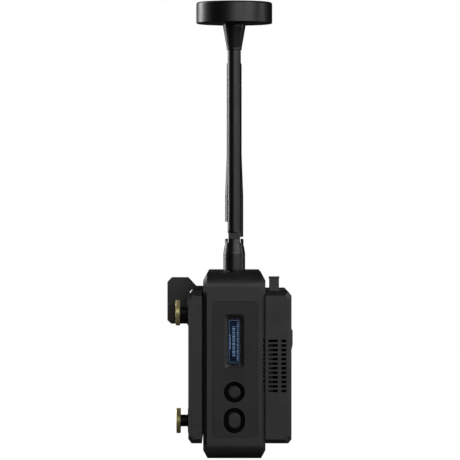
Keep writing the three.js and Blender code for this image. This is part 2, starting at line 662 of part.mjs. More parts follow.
/** The antenna's swivelling foot with its elbow's fork on top; the pin lies along X and it folds to -Y. */
function antennaBase(roomForShoulder) {
  const outline = [
    [0, BASE_BORE.top], [BASE_BORE.radius, BASE_BORE.top], [BASE_BORE.radius, BASE.low],
    [BASE.radius, BASE.low], [BASE.radius, BASE.shoulder], [4.7, ELBOW.z],
    [BASE.tipRadius, BASE.high], [0, BASE.high],
  ];
  const foot = turned(outline, FACETS.middle);
  const { z, slotHalf, slotFloor, earRadius, holeRadius } = ELBOW;
  const slot = box([-slotHalf, slotHalf], [-9, 9], [slotFloor, BASE.high + 1]);
  const above = box([-9, 9], [-9, 9], [z, BASE.high + 1]);
  const ears = rod('x', earRadius, [-9, 9], [0, z], FACETS.socket);
  const bore = rod('x', holeRadius, [-9, 9], [0, z]);
  const shaped = cut(foot, slot, cut(above, ears), bore);
  return roomForShoulder ? cut(shaped, box([-9, 9], [-9, -3.4], [slotFloor, BASE.high])) : shaped;
}

function hingePin() {
  return rod('x', ELBOW.pinRadius, [-4.3, 4.3], [0, ELBOW.z]);
}

/** The flat-sided tongue that turns in the fork, from its rounded foot up to the given height. */
function tongue(top) {
  const { half, radius } = TONGUE;
  const foot = rod('x', radius, [-half, half], [0, ELBOW.z], FACETS.middle);
  const neck = box([-half, half], [-radius, radius], [ELBOW.z, top]);
  return foot.add(neck);
}

function whip() {
  const { low, reliefTop, taperLow, taperHigh, top } = WHIP;
  const { low: wide, high: slim } = WHIP_RADIUS;
  const outline = [
    [0, low], [wide, low], [wide, taperLow], [slim, taperHigh], [slim, top - 2], [slim - 0.6, top - 0.6],
    [slim - 1.8, top], [0, top],
  ];
  const relief = box([-9, 9], [-9, -TONGUE.radius], [low - 1, reliefTop]);
  const body = cut(turned(outline, FACETS.middle), relief).add(tongue(low + 1));
  return cut(body, rod('x', ELBOW.holeRadius, [-9, 9], [0, ELBOW.z]));
}

/** The disc antenna's mast: tongue, stem, cone and the flange that closes the disc from below. */
function discMast() {
  const { low, top, coneTop, radius, collar, coneRadius } = MAST;
  const flange = DISC.radius - DISC.wall - 0.2;
  const outline = [
    [0, low], [radius, low], [radius, top], [collar, top], [collar, top + 1.1], [coneRadius, coneTop],
    [coneRadius, DISC.low], [flange, DISC.low], [flange, DISC.low + 1.8], [0, DISC.low + 1.8],
  ];
  const body = turned(outline, FACETS.middle).add(tongue(low + 1));
  return cut(body, rod('x', ELBOW.holeRadius, [-9, 9], [0, ELBOW.z]));
}

function discRadome() {
  const { low, high, radius, wall } = DISC;
  const outline = [
    [0, high - wall], [radius - wall, high - wall], [radius - wall, low],
    [radius, low], [radius, high], [0, high],
  ];
  return turned(outline, FACETS.large);
}

function discElement() {
  const seat = DISC.low + 1.8;
  const [under, over] = [seat + 1.6, seat + 3.2];
  return turned([[0, seat], [3, seat], [3, under], [14, under], [14, over], [0, over]], FACETS.middle);
}

// ---- assembly ------------------------------

add('main_housing', mainHousing(), MATERIALS.anodised);
add('front_cap', frontCap(), MATERIALS.anodised);
add('rear_cap', rearCap(), MATERIALS.anodised);
add('front_panel', frontPanel(), MATERIALS.panel);
add('display_window', displayWindow(), MATERIALS.glass);
add('display_module', displayModule(), MATERIALS.oled);
add('select_button', button(SELECT), MATERIALS.keycap);
add('menu_button', button(MENU), MATERIALS.keycap);
add('button_board', buttonBoard(), MATERIALS.circuit);

add('main_board', box([-9.4, -7.8], [-56, 57], [6, 78]), MATERIALS.circuit);
add('rf_board', box([-0.8, 0.8], [4, 56], [34, 79]), MATERIALS.circuit);
add('shield_can', shieldCan(), MATERIALS.tin);
add('heatsink', heatsink(), MATERIALS.tin);
add('fan_frame', fanFrame(), MATERIALS.fan);
add('fan_rotor', fanRotor(), MATERIALS.fan);

REAR.sdiZ.forEach((z, i) => add(`sdi_connector_${i + 1}`, sdiConnector(z), MATERIALS.steel));
add('hdmi_connector', hdmiConnector(), MATERIALS.steel);
add('usb_connector', usbConnector(), MATERIALS.steel);
add('power_inlet', powerInlet(), MATERIALS.steel);
add('power_switch', powerSwitch(), MATERIALS.blackPlastic);
add('tripod_insert', tripodInsert(), MATERIALS.steel);

add('stud_plate', studPlate(), MATERIALS.blackPlastic);
STUDS.forEach((place, i) => add(`mount_stud_${i + 1}`, mountStud(place), MATERIALS.brass));
add('terminal_block', terminalBlock(), MATERIALS.blackPlastic);
[-1, 1].forEach((side, i) => add(`terminal_socket_${i + 1}`, terminalSocket(side), MATERIALS.brass));

add('battery_plate', batteryPlate(), MATERIALS.blackPlastic);
[-1, 1].forEach((side, i) => add(`power_pin_${i + 1}`, powerPin(side), MATERIALS.brass));
add('release_button', releaseButton(), MATERIALS.blackPlastic);
add('latch_slider', latchSlider(), MATERIALS.steel);
add('latch_bolt', latchBolt(), MATERIALS.steel);
add('latch_guide', latchGuide(), MATERIALS.steel);
add('release_spring', releaseSpring(), MATERIALS.steel);

ANTENNAS.forEach((y, i) => {
  const number = i + 1;
  const isDisc = i === 0; // the disc antenna stands nearest the display end and folds away over it
  add(`antenna_connector_${number}`, antennaConnector(y), MATERIALS.steel);
  const antenna = new THREE.Group();
  antenna.position.set(0, y, 0);
  antenna.rotation.z = isDisc ? 0 : -Math.PI / 2; // the whips fold over the stud plate's side
  receiver.add(antenna);
  add(`antenna_base_${number}`, antennaBase(!isDisc), MATERIALS.antenna, antenna);
  add(`hinge_pin_${number}`, hingePin(), MATERIALS.steel, antenna);
  if (isDisc) {
    add('disc_mast', discMast(), MATERIALS.antenna, antenna);
    add('disc_radome', discRadome(), MATERIALS.antenna, antenna);
    add('disc_element', discElement(), MATERIALS.circuit, antenna);
  } else {
    add(`whip_${number}`, whip(), MATERIALS.antenna, antenna);
  }
});

export default receiver;
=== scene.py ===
# The looks of the wireless receiver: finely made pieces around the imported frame, their finishes, a pale
# studio, and the camera. Lengths in this script are millimetres until a piece is finished, which scales it.

import math

import bmesh
import bpy
from mathutils import Matrix, Vector

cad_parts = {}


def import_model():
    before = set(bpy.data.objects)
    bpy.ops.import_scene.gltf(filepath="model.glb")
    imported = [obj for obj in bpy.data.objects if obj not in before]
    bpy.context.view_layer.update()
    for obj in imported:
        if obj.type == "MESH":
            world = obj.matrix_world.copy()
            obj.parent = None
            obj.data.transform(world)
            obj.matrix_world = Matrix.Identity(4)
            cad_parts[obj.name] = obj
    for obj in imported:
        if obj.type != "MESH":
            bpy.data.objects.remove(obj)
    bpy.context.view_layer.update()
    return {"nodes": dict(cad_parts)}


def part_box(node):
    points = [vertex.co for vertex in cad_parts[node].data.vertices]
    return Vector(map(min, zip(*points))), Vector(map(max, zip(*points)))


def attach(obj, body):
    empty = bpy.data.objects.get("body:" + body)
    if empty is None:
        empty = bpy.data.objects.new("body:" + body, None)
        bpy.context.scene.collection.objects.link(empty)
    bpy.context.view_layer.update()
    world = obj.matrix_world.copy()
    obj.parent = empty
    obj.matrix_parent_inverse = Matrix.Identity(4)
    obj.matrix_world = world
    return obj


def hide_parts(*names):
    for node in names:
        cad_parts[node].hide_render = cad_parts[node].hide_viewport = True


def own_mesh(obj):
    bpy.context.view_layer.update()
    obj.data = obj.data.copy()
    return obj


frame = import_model()

MM = 0.001
ARC_STEPS = 5  # segments in a small rounded corner
TURN_STEPS = 72  # segments in a full turn of a visible round piece
WEAR_RADIUS = 0.0004  # of worn colour round an edge, in metres


def span(node):
    """A CAD node's lowest and highest corner, in millimetres."""
    low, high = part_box(node)
    return Vector([round(v / MM, 3) for v in low]), Vector([round(v / MM, 3) for v in high])


def centre_of(node):
    low, high = span(node)
    return (low + high) / 2


# ---- outlines: lists of 2D points ----


def filleted(corners, steps=ARC_STEPS):
    """Rounds a closed outline's corners, each given as (u, v, radius); radius 0 keeps a corner sharp."""
    outline = []
    for i, (u, v, radius) in enumerate(corners):
        corner = Vector((u, v))
        if radius <= 0:
            outline.append(corner)
            continue
        back = (Vector(corners[i - 1][:2]) - corner).normalized()
        on = (Vector(corners[(i + 1) % len(corners)][:2]) - corner).normalized()
        half = back.angle(on) / 2
        centre = corner + (back + on).normalized() * radius / math.sin(half)
        start = corner + back * radius / math.tan(half) - centre
        end = corner + on * radius / math.tan(half) - centre
        sweep = math.atan2(start.cross(end), start.dot(end))
        outline += [centre + Matrix.Rotation(sweep * k / steps, 2) @ start for k in range(steps + 1)]
    return outline


def rectangle(u, v, radius=0.0, steps=ARC_STEPS):
    """An upright rectangle between two u values and two v values, with rounded corners."""
    corners = [(u[0], v[0]), (u[1], v[0]), (u[1], v[1]), (u[0], v[1])]
    return filleted([(a, b, radius) for a, b in corners], steps)


def pill(half_width, half_height, z, radius=None):
    """A slot with round ends, centred on X = 0 at height z."""
    limit = min(half_width, half_height) - 0.01
    radius = limit if radius is None else min(radius, limit)
    return rectangle((-half_width, half_width), (z - half_height, z + half_height), radius, 12)


def circle(u, v, radius, steps=TURN_STEPS):
    turn = 2 * math.pi / steps
    return [Vector((u + radius * math.cos(i * turn), v + radius * math.sin(i * turn))) for i in range(steps)]


# ---- solids: objects whose mesh is a closed body in millimetres ----

AXES = {"x": (0, 1, 2), "y": (1, 0, 2), "z": (2, 0, 1)}


def along(axis, height, u, v):
    """A 3D point from its place along an axis and its other two coordinates in X, Y, Z order."""
    point = [0.0, 0.0, 0.0]
    for index, value in zip(AXES[axis], (height, u, v)):
        point[index] = value
    return point


def linked(name, data):
    """A new object in the scene."""
    made = bpy.data.objects.new(name, data)
    bpy.context.scene.collection.objects.link(made)
    return made


def discard(piece):
    mesh = piece.data
    bpy.data.objects.remove(piece)
    bpy.data.meshes.remove(mesh)


def solid(points, faces):
    mesh = bpy.data.meshes.new("solid")
    mesh.from_pydata(points, [], faces)
    shape = bmesh.new()
    shape.from_mesh(mesh)
    bmesh.ops.recalc_face_normals(shape, faces=shape.faces)
    shape.to_mesh(mesh)
    shape.free()
    return linked("solid", mesh)


def stacked(axis, levels):
    """A solid through outlines of equal point counts, each given with its place along the axis."""
    count = len(levels[0][1])
    points = [along(axis, height, *point) for height, outline in levels for point in outline]
    faces = [list(range(count)), [len(points) - count + i for i in range(count)]]
    for level in range(len(levels) - 1):
        start = level * count
        for i in range(count):
            j = (i + 1) % count
            faces.append([start + i, start + j, start + count + j, start + count + i])
    return solid(points, faces)


def prism(axis, outline, ends):
    return stacked(axis, [(ends[0], outline), (ends[1], outline)])


def block(x, y, z):
    return prism("x", rectangle(y, z), x)


def rod(axis, radius, ends, centre, steps=TURN_STEPS):
    return prism(axis, circle(*centre, radius, steps), ends)


def turned(profile, centre=(0, 0), axis="z", steps=TURN_STEPS, flip=1):
    """A solid of revolution. The profile holds (radius, height) points and starts and ends on the axis or
    closes on itself; heights are places along the axis, times flip."""
    on_axis = profile[0][0] == 0 and profile[-1][0] == 0
    rings, points = [], []
    for radius, height in profile:
        if radius == 0:
            rings.append([len(points)])
            points.append(along(axis, flip * height, *centre))
        else:
            rings.append(list(range(len(points), len(points) + steps)))
            points += [along(axis, flip * height, *point) for point in circle(*centre, radius, steps)]
    faces = []
    pairs = list(zip(rings, rings[1:])) + ([] if on_axis else [(rings[-1], rings[0])])
    for low, high in pairs:
        if len(low) == 1 and len(high) == 1:
            continue
        for i in range(steps):
            j = (i + 1) % steps
            face = [low[i % len(low)], low[j % len(low)], high[j % len(high)], high[i % len(high)]]
            faces.append(list(dict.fromkeys(face)))
    return solid(points, faces)


def profile_of(corners, steps=ARC_STEPS):
    """A turned piece's profile from (radius, height, rounding) corners, both ends on the axis."""
    return [(max(p[0], 0.0) if p[0] > 1e-6 else 0, p[1]) for p in filleted(corners, steps)]


def bake(piece):
    """Applies a piece's modifiers."""
    graph = bpy.context.evaluated_depsgraph_get()
    mesh = bpy.data.meshes.new_from_object(piece.evaluated_get(graph))
    old = piece.data
    piece.modifiers.clear()
    piece.data = mesh
    bpy.data.meshes.remove(old)
    return piece


def combined(piece, tools, operation):
    for tool in tools:
        modifier = piece.modifiers.new("combine", "BOOLEAN")
        modifier.operation, modifier.solver, modifier.object = operation, "MANIFOLD", tool
    bake(piece)
    for tool in tools:
        discard(tool)
    return piece


def union(piece, *tools):
    return combined(piece, tools, "UNION")


def cut(piece, *tools):
    return combined(piece, tools, "DIFFERENCE")


def common(piece, *tools):
    return combined(piece, tools, "INTERSECT")


def softened(piece, width, segments=2, angle=33):
    """Rounds every edge that is sharper than the angle, in degrees."""
    modifier = piece.modifiers.new("soften", "BEVEL")
    modifier.width, modifier.segments = width, segments
    modifier.limit_method, modifier.angle_limit = "ANGLE", math.radians(angle)
    modifier.miter_outer = "MITER_ARC"
    return bake(piece)


def placed(piece, matrix):
    piece.data.transform(matrix)
    return piece


def joined(*parts):
    """Several separate solids as one piece."""
    shape = bmesh.new()
    for part in parts:
        shape.from_mesh(part.data)
        discard(part)
    mesh = bpy.data.meshes.new("joined")
    shape.to_mesh(mesh)
    shape.free()
    return linked("joined", mesh)


def finished(piece, name, finish, body="housing", stands_for=None, sharp=38):
    """Scales a solid to metres, gives it smooth shading, its finish and its body, and hides the CAD node
    that it stands for."""
    mesh = piece.data
    mesh.transform(Matrix.Scale(MM, 4))
    piece.name = mesh.name = name
    mesh.materials.clear()
    mesh.materials.append(FINISHES[finish])
    mesh.shade_smooth()
    mesh.set_sharp_from_angle(angle=math.radians(sharp))
    weighted = piece.modifiers.new("weighted_normals", "WEIGHTED_NORMAL")
    weighted.keep_sharp = True
    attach(piece, body)
    if stands_for:
        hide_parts(stands_for)
    return piece


# ---- finishes ----


class Finish:
    """A material whose nodes are added one by one round a Principled shader."""

    def __init__(self, name, colour, roughness, metallic=0.0, specular=0.5, sheen=0.0):
        self.material = bpy.data.materials.new(name)
        self.material.use_nodes = True
        self.tree = self.material.node_tree
        self.shader = self.tree.nodes["Principled BSDF"]
        self.colour = colour
        self.set(self.shader, "Base Color", (*colour, 1))
        self.set(self.shader, "Roughness", roughness)
        self.set(self.shader, "Metallic", metallic)
        self.set(self.shader, "Specular IOR Level", specular)
        self.set(self.shader, "Sheen Weight", sheen)
        self.place = self.node("ShaderNodeTexCoord").outputs["Object"]
        self.height = None

    def node(self, kind, **inputs):
        made = self.tree.nodes.new(kind)
        for key, value in inputs.items():
            self.set(made, key.replace("_", " "), value)
        return made

    @staticmethod
    def set(node, socket, value):
        node.inputs[socket].default_value = value

    def link(self, output, node, socket):
        self.tree.links.new(output, node.inputs[socket])

    def noise(self, scale, detail=2.0, roughness=0.5, stretch=None):
        made = self.node("ShaderNodeTexNoise", Scale=scale, Detail=detail, Roughness=roughness)
        place = self.place
        if stretch:
            mapping = self.node("ShaderNodeMapping", Scale=stretch)
            self.link(place, mapping, "Vector")
            place = mapping.outputs["Vector"]
        self.link(place, made, "Vector")
        return made.outputs["Fac"]

    def ranged(self, value, low, high, start=0.3, end=0.7):
        made = self.node("ShaderNodeMapRange", From_Min=start, From_Max=end, To_Min=low, To_Max=high)
        self.link(value, made, "Value")
        return made.outputs["Result"]

    def rough(self, low, high, scale=90.0, **options):
        """Lets the roughness wander between two values."""
        self.link(self.ranged(self.noise(scale, 4.0, **options), low, high), self.shader, "Roughness")
        return self

    def mottled(self, factor, scale=140.0, share=0.35):
        """Lets the colour wander towards itself times a factor."""
        other = [min(1.0, c * factor) for c in self.colour]
        mix = self.blended(self.ranged(self.noise(scale, 5.0), 0.0, share * 2), other)
        self.set(mix, "A", (*self.colour, 1))
        self.tint = mix.outputs["Result"]
        return self

    def blended(self, share, colour):
        """Colours the shader with a mix of its input A and a colour."""
        mix = self.tree.nodes.new("ShaderNodeMix")
        mix.data_type = "RGBA"
        self.set(mix, "B", (*colour, 1))
        self.link(share, mix, "Factor")
        self.link(mix.outputs["Result"], self.shader, "Base Color")
        return mix

    def worn(self, colour, amount):
        """Shows a lighter colour where an edge is convex, broken up by noise."""
        bevel = self.node("ShaderNodeBevel", Radius=WEAR_RADIUS)
        bevel.samples = 4
        geometry = self.tree.nodes.new("ShaderNodeNewGeometry")
        facing = self.tree.nodes.new("ShaderNodeVectorMath")
        facing.operation = "DOT_PRODUCT"
        self.tree.links.new(bevel.outputs["Normal"], facing.inputs[0])
        self.tree.links.new(geometry.outputs["Normal"], facing.inputs[1])
        edge = self.ranged(facing.outputs["Value"], amount, 0.0, 0.80, 0.985)
        broken = self.tree.nodes.new("ShaderNodeMath")
        broken.operation = "MULTIPLY"
        self.tree.links.new(edge, broken.inputs[0])
        self.tree.links.new(self.ranged(self.noise(420.0, 4.0), 0.1, 1.0, 0.35, 0.65), broken.inputs[1])
        self.link(self.tint, self.blended(broken.outputs["Value"], colour), "A")
        return self

    def grained(self, value, distance, strength=1.0):
        """Adds a bump from a texture value; distance is its depth in metres."""
        bump = self.node("ShaderNodeBump", Strength=strength, Distance=distance)
        self.link(value, bump, "Height")
        if self.height is not None:
            self.link(self.height, bump, "Normal")
        self.height = bump.outputs["Normal"]
        self.link(self.height, self.shader, "Normal")
        return self


def coated_metal(name, colour):
    """Black bead-blasted and anodised aluminium."""
    made = Finish(name, colour, 0.42, specular=0.42)
    made.rough(0.38, 0.5, 60.0).mottled(1.35, 240.0).worn((0.10, 0.10, 0.105), 0.45)
    made.grained(made.noise(5200.0, 3.0), 0.00003, 0.55)
    made.grained(made.noise(45.0, 2.0), 0.00002, 0.3)
    return made.material


def moulded(name, colour, low=0.4, high=0.54, grain=3600.0, depth=0.00003, wear=0.3, specular=0.42):
    """Black spark-textured moulded plastic."""
    made = Finish(name, colour, low, specular=specular)
    made.rough(low, high, 75.0).mottled(1.4, 180.0).worn((0.075, 0.075, 0.078), wear)
    made.grained(made.noise(grain, 4.0, 0.6), depth, 0.6)
    return made.material


def rubber():
    made = Finish("key_rubber", (0.020, 0.020, 0.021), 0.62, specular=0.35, sheen=0.05)
    made.rough(0.55, 0.72, 120.0).mottled(1.3, 300.0)
    made.grained(made.noise(4200.0, 2.0), 0.00004, 0.5)
    return made.material


def brass():
    made = Finish("turned_brass", (0.95, 0.84, 0.38), 0.38, metallic=0.3)
    made.rough(0.32, 0.46, 260.0, stretch=(9.0, 1.0, 1.0)).mottled(0.82, 500.0)
    made.grained(made.noise(1800.0, 3.0, stretch=(6.0, 1.0, 1.0)), 0.000012, 0.5)
    return made.material


def nickel(name="nickel", colour=(0.56, 0.55, 0.53), rough=(0.22, 0.36)):
    made = Finish(name, colour, rough[0], metallic=1.0)
    made.rough(*rough, 220.0).mottled(0.85, 380.0)
    made.grained(made.noise(2600.0, 3.0), 0.00001, 0.5)
    return made.material


def plain_plastic(name, colour, roughness=0.4, specular=0.5):
    made = Finish(name, colour, roughness, specular=specular)
    made.rough(roughness - 0.06, roughness + 0.08, 150.0).mottled(0.88, 300.0)
    made.grained(made.noise(2800.0, 2.0), 0.00001, 0.5)
    return made.material


def circuit():
    """Green solder mask over fine copper traces."""
    made = Finish("circuit_green", (0.012, 0.075, 0.035), 0.32)
    made.rough(0.25, 0.4, 150.0).mottled(1.6, 700.0, 0.6)
    brick = made.node("ShaderNodeTexBrick", Scale=420.0)
    made.link(made.place, brick, "Vector")
    made.grained(brick.outputs["Fac"], 0.00005, 0.7)
    return made.material


def glass():
    made = Finish("display_glass", (0.86, 0.9, 0.97), 0.02, specular=0.5)
    made.set(made.shader, "Transmission Weight", 1.0)
    made.set(made.shader, "IOR", 1.35)
    made.rough(0.01, 0.035, 300.0)
    return made.material


def glowing(name, colour, light, strength):
    made = Finish(name, colour, 0.3, specular=0.12)
    made.mottled(1.25, 900.0)
    made.set(made.shader, "Emission Color", (*light, 1))
    made.set(made.shader, "Emission Strength", strength)
    made.rough(0.25, 0.36, 400.0)
    return made.material


FINISHES = {
    "housing": coated_metal("anodised_black", (0.0135, 0.0135, 0.0142)),
    "plate": moulded("plate_black", (0.0135, 0.0135, 0.0138)),
    "panel": moulded("panel_black", (0.0085, 0.0085, 0.0092), 0.46, 0.56, 5200.0, 0.00001, 0.15, 0.38),
    "antenna": moulded("antenna_black", (0.0042, 0.0042, 0.0044), 0.33, 0.43, 4200.0, 0.00002, 0.2, 0.42),
    "release": moulded("release_black", (0.022, 0.022, 0.0225), 0.42, 0.55),
    "rubber": rubber(),
    # painted shade: a near-black, almost unreflective finish for the ring deep in each key well
    "painted_well_shade": plain_plastic("painted_well_shade_black", (0.0012, 0.0012, 0.0012), 0.7, 0.05),
    "brass": brass(),
    "steel": nickel(),
    "black_steel": nickel("black_steel", (0.05, 0.05, 0.052), (0.3, 0.44)),
    "gold": nickel("gold_contact", (0.86, 0.62, 0.24), (0.16, 0.28)),
    "white": plain_plastic("insulator_white", (0.72, 0.71, 0.68)),
    "tongue": plain_plastic("tongue_black", (0.012, 0.012, 0.012)),
    "circuit": circuit(),
    "tin": nickel("tin", (0.62, 0.62, 0.63), (0.3, 0.42)),
    "fan": plain_plastic("fan_black", (0.022, 0.022, 0.023)),
    "glass": glass(),
    "oled": glowing("display_dark", (0.001, 0.003, 0.011), (0.006, 0.022, 0.09), 0.1),
    "mark": glowing("display_mark", (0.05, 0.1, 0.16), (0.42, 0.66, 1.0), 0.26),
}

# ---- housing and end caps ----

HOUSING_LOW, HOUSING_HIGH = span("main_housing")
FRONT, CAP_JOINT = span("front_cap")[0].y, span("front_cap")[1].y
REAR_FACE = span("rear_cap")[1].y
WIDE, TALL = HOUSING_HIGH.x, HOUSING_HIGH.z
CORNER = (2.2, 4.2)  # the long chamfer on the housing's long edges, across and up
CORNER_EDGE = 0.7
ROLL = {"front_top": 7.5, "rear_top": 4.6, "bottom": 7.0}  # the end caps' rolled edges
END_BEVEL = 1.9
WALL, END_WALL = 2.1, 2.4
PANEL_LOW, PANEL_HIGH = span("front_panel")
WINDOW_LOW, WINDOW_HIGH = span("display_window")
WINDOW_HALF, WINDOW_SLOPE = 4.85, 1.4
WINDOW_Z = (44.4, 70.9)
FRONT_INNER = WINDOW_LOW.y
INNER_X = (-WIDE + WALL, WIDE - WALL)
INNER_Z = (END_WALL, TALL - END_WALL)
KEYS = {"select_button": (32.7, 5.2, 5.2), "menu_button": (18.8, 5.3, 6.3)}  # height, and the well's halves
CAP_VENT = {"rows": 12, "first": 33.5, "pitch": 2.225, "half": 0.65, "depth": (0.7, 7.6)}
ANTENNA_Y = [centre_of(f"antenna_base_{k}").y for k in range(1, 6)]


def housing_outline():
    across, up = CORNER
    corners = [
        (-WIDE + across, 0), (WIDE - across, 0), (WIDE, up), (WIDE, TALL - up),
        (WIDE - across, TALL), (-WIDE + across, TALL), (-WIDE, TALL - up), (-WIDE, up),
    ]
    return filleted([(u, v, CORNER_EDGE) for u, v in corners])


def main_housing():
    ends = (HOUSING_LOW.y, HOUSING_HIGH.y)
    tube = prism("y", housing_outline(), ends)
    bore = block(INNER_X, (ends[0] - 1, ends[1] + 1), INNER_Z)
    holes = [rod("z", 3.3, (TALL - 4, TALL + 1), (0, y)) for y in ANTENNA_Y]
    fan = centre_of("fan_frame")
    vent = rod("x", 13.2, (INNER_X[1] - 1, WIDE + 1), (fan.y, fan.z))
    insert = rod("z", 4.3, (-1, 3.5), (0, centre_of("tripod_insert").y))
    shell = cut(tube, bore, *holes, vent, insert)
    finished(softened(shell, 0.22), "housing_shell", "housing", stands_for="main_housing")


def cap_side(top, shrink, back):
    """The end cap's side view, shrunk by a wall's thickness for the hollow inside it."""
    low, high, face = shrink, TALL - shrink, FRONT + shrink
    rounding = (0, 0, top - shrink, ROLL["bottom"] - shrink)
    corners = zip((back, back, face, face), (low, high, high, low), rounding)
    return filleted(list(corners), 18)


def end_block(top):
    """The display end's cap as a cup; the bevel on its upright edges follows the rolled edges."""
    past = CAP_JOINT + END_BEVEL + 1
    flat = WIDE - END_BEVEL
    levels = [(-WIDE, END_BEVEL), (-flat, 0), (flat, 0), (WIDE, END_BEVEL)]
    shape = stacked("x", [(x, cap_side(top, shrink, past - shrink)) for x, shrink in levels])
    shape = common(shape, prism("y", housing_outline(), (FRONT, CAP_JOINT)))
    return cut(shape, prism("x", cap_side(top, END_WALL, CAP_JOINT + 1), INNER_X))


def key_wells(ends):
    return [prism("y", pill(across, up, z), ends) for z, across, up in KEYS.values()]


def window_outline(inset=0.0):
    low, high = WINDOW_Z[0] + inset, WINDOW_Z[1] - inset
    return rectangle((-WINDOW_HALF + inset, WINDOW_HALF - inset), (low, high), 1.5, 8)


def vent_slots(vent, across):
    """The outlines of a column of vents between two places across it."""
    middles = [vent["first"] + row * vent["pitch"] for row in range(vent["rows"])]
    return [rectangle(across, (z - vent["half"], z + vent["half"]), 0.3, 3) for z in middles]


def front_cap():
    seat_y = FRONT + (PANEL_HIGH.y - PANEL_LOW.y)
    groove = 0.35
    across = (PANEL_LOW.x - groove, PANEL_HIGH.x + groove)
    tall = (PANEL_LOW.z - groove, PANEL_HIGH.z + groove)
    seat = prism("y", rectangle(across, tall, 2.85, 10), (FRONT - 1, seat_y))
    window = prism("y", window_outline(WINDOW_SLOPE - 0.05), (FRONT - 1, FRONT_INNER + 1))
    keyholes = []
    for name, (z, _, _) in KEYS.items():
        low, high = span(name)
        keyholes.append(prism("y", pill((high.x - low.x) / 2 - 0.8, (high.z - low.z) / 2 - 0.8, z),
                              (FRONT, FRONT_INNER + 1)))
    depth = [FRONT + d for d in CAP_VENT["depth"]]
    vents = [prism("x", slot, (INNER_X[1] - 0.5, WIDE + 1)) for slot in vent_slots(CAP_VENT, depth)]
    wells = key_wells((FRONT - 1, FRONT_INNER - 0.8))
    cap = cut(end_block(ROLL["front_top"]), seat, window, *keyholes, *wells, *vents)
    finished(softened(cap, 0.16), "display_end_cap", "housing", stands_for="front_cap")


def front_panel():
    ends = (PANEL_LOW.y, PANEL_HIGH.y)
    past = (ends[0] - 1, ends[1] + 1)
    plate = prism("y", rectangle((PANEL_LOW.x, PANEL_HIGH.x), (PANEL_LOW.z, PANEL_HIGH.z), 2.5, 10), ends)
    sloped = [(ends[0] - 1, window_outline()), (ends[0] + 0.05, window_outline()),
              (ends[1] - 0.1, window_outline(WINDOW_SLOPE)), (ends[1] + 1, window_outline(WINDOW_SLOPE))]
    plate = cut(plate, stacked("y", sloped), *key_wells(past))
    finished(softened(plate, 0.18), "control_panel", "panel", stands_for="front_panel")


def keys():
    for name, (z, across, up) in KEYS.items():
        low, high = span(name)
        flange_x, flange_z = (high.x - low.x) / 2, (high.z - low.z) / 2
        crown_x, crown_z = flange_x - 1.2, flange_z - 1.2
        levels = [
            (FRONT_INNER + 1.0, 0.0, flange_x, flange_z), (FRONT_INNER + 0.2, 0.0, flange_x, flange_z),
            (FRONT_INNER + 0.1, 0.0, crown_x, crown_z), (FRONT + 1.1, 0.0, crown_x, crown_z),
        ]
        steps = 6
        for k in range(1, steps + 1):  # the crown's rounded rim
            angle = k / steps * math.pi / 2
            inset = 0.8 * (1 - math.cos(angle))
            levels.append((FRONT + 1.1 - 0.7 * math.sin(angle), inset, crown_x, crown_z))
        levels.append((FRONT + 0.5, 1.5, crown_x, crown_z))  # a shallow dish in the middle
        outlines = [(y, pill(half_x - inset, half_z - inset, z)) for y, inset, half_x, half_z in levels]
        key = union(stacked("y", outlines), rod("y", 1.6, (FRONT_INNER + 0.9, high.y), (0, z)))
        body = "select_key" if name == "select_button" else "menu_key"
        finished(key, name.replace("button", "key"), "rubber", body, name)
        # A near-black, almost unreflective ring at the bottom of each key well: painted shade for the dark
        # deep round the key.
        well = (FRONT_INNER - 0.8 - 0.35, FRONT_INNER - 0.8 - 0.02)
        shade_ring = prism("y", pill(across - 0.12, up - 0.12, z), well)
        shade_ring = cut(shade_ring, prism("y", pill(crown_x + 0.3, crown_z + 0.3, z), (well[0] - 1, well[1] + 1)))
        finished(softened(shade_ring, 0.1), name.replace("button", "well_shade_ring"), "painted_well_shade")


def display():
    pane = prism("y", rectangle((WINDOW_LOW.x, WINDOW_HIGH.x), (WINDOW_LOW.z, WINDOW_HIGH.z), 0.8),
                 (WINDOW_LOW.y, WINDOW_HIGH.y))
    finished(softened(pane, 0.08), "display_pane", "glass", stands_for="display_window")
    low, high = span("display_module")
    body = prism("y", rectangle((low.x, high.x), (low.z, high.z), 0.6), (low.y, high.y))
    finished(softened(body, 0.1), "display_body", "tongue", stands_for="display_module")
    face = low.y
    lit = prism("y", rectangle((-2.85, 2.75), (46.9, 68.3), 0.15), (face - 0.05, face + 0.05))
    finished(lit, "display_screen", "oled")
    marks = []

    def bar(x, z):
        marks.append(prism("y", rectangle(x, z, 0.08, 2), (face - 0.08, face - 0.04)))

    bar((-2.5, -2.38), (47.3, 67.9))
    bar((2.25, 2.37), (47.3, 67.9))
    bar((-2.38, 2.25), (47.3, 47.42))
    bar((-2.38, 2.25), (67.78, 67.9))
    rows = [  # generic level bars: X range, first and last Z, and the lengths that repeat along them
        ((-2.3, -1.75), 53.8, 60.8, (0.9, 0.5, 1.2)),
        ((-0.95, 0.45), 50.3, 65.0, (0.55, 0.3, 0.8, 0.3)),
        ((1.3, 1.95), 48.2, 66.7, (0.5, 0.9, 0.3)),
    ]
    for x, start, stop, lengths in rows:
        z, index = start, 0
        while z < stop:
            length = lengths[index % len(lengths)]
            bar(x, (z, min(z + length, stop)))
            z += length + 0.45
            index += 1
    finished(joined(*marks), "display_marks", "mark")


# ---- rear end ----

SCREW = {"edge": 0.22, "socket": 0.55, "head": 1.9, "sink": 2.15}


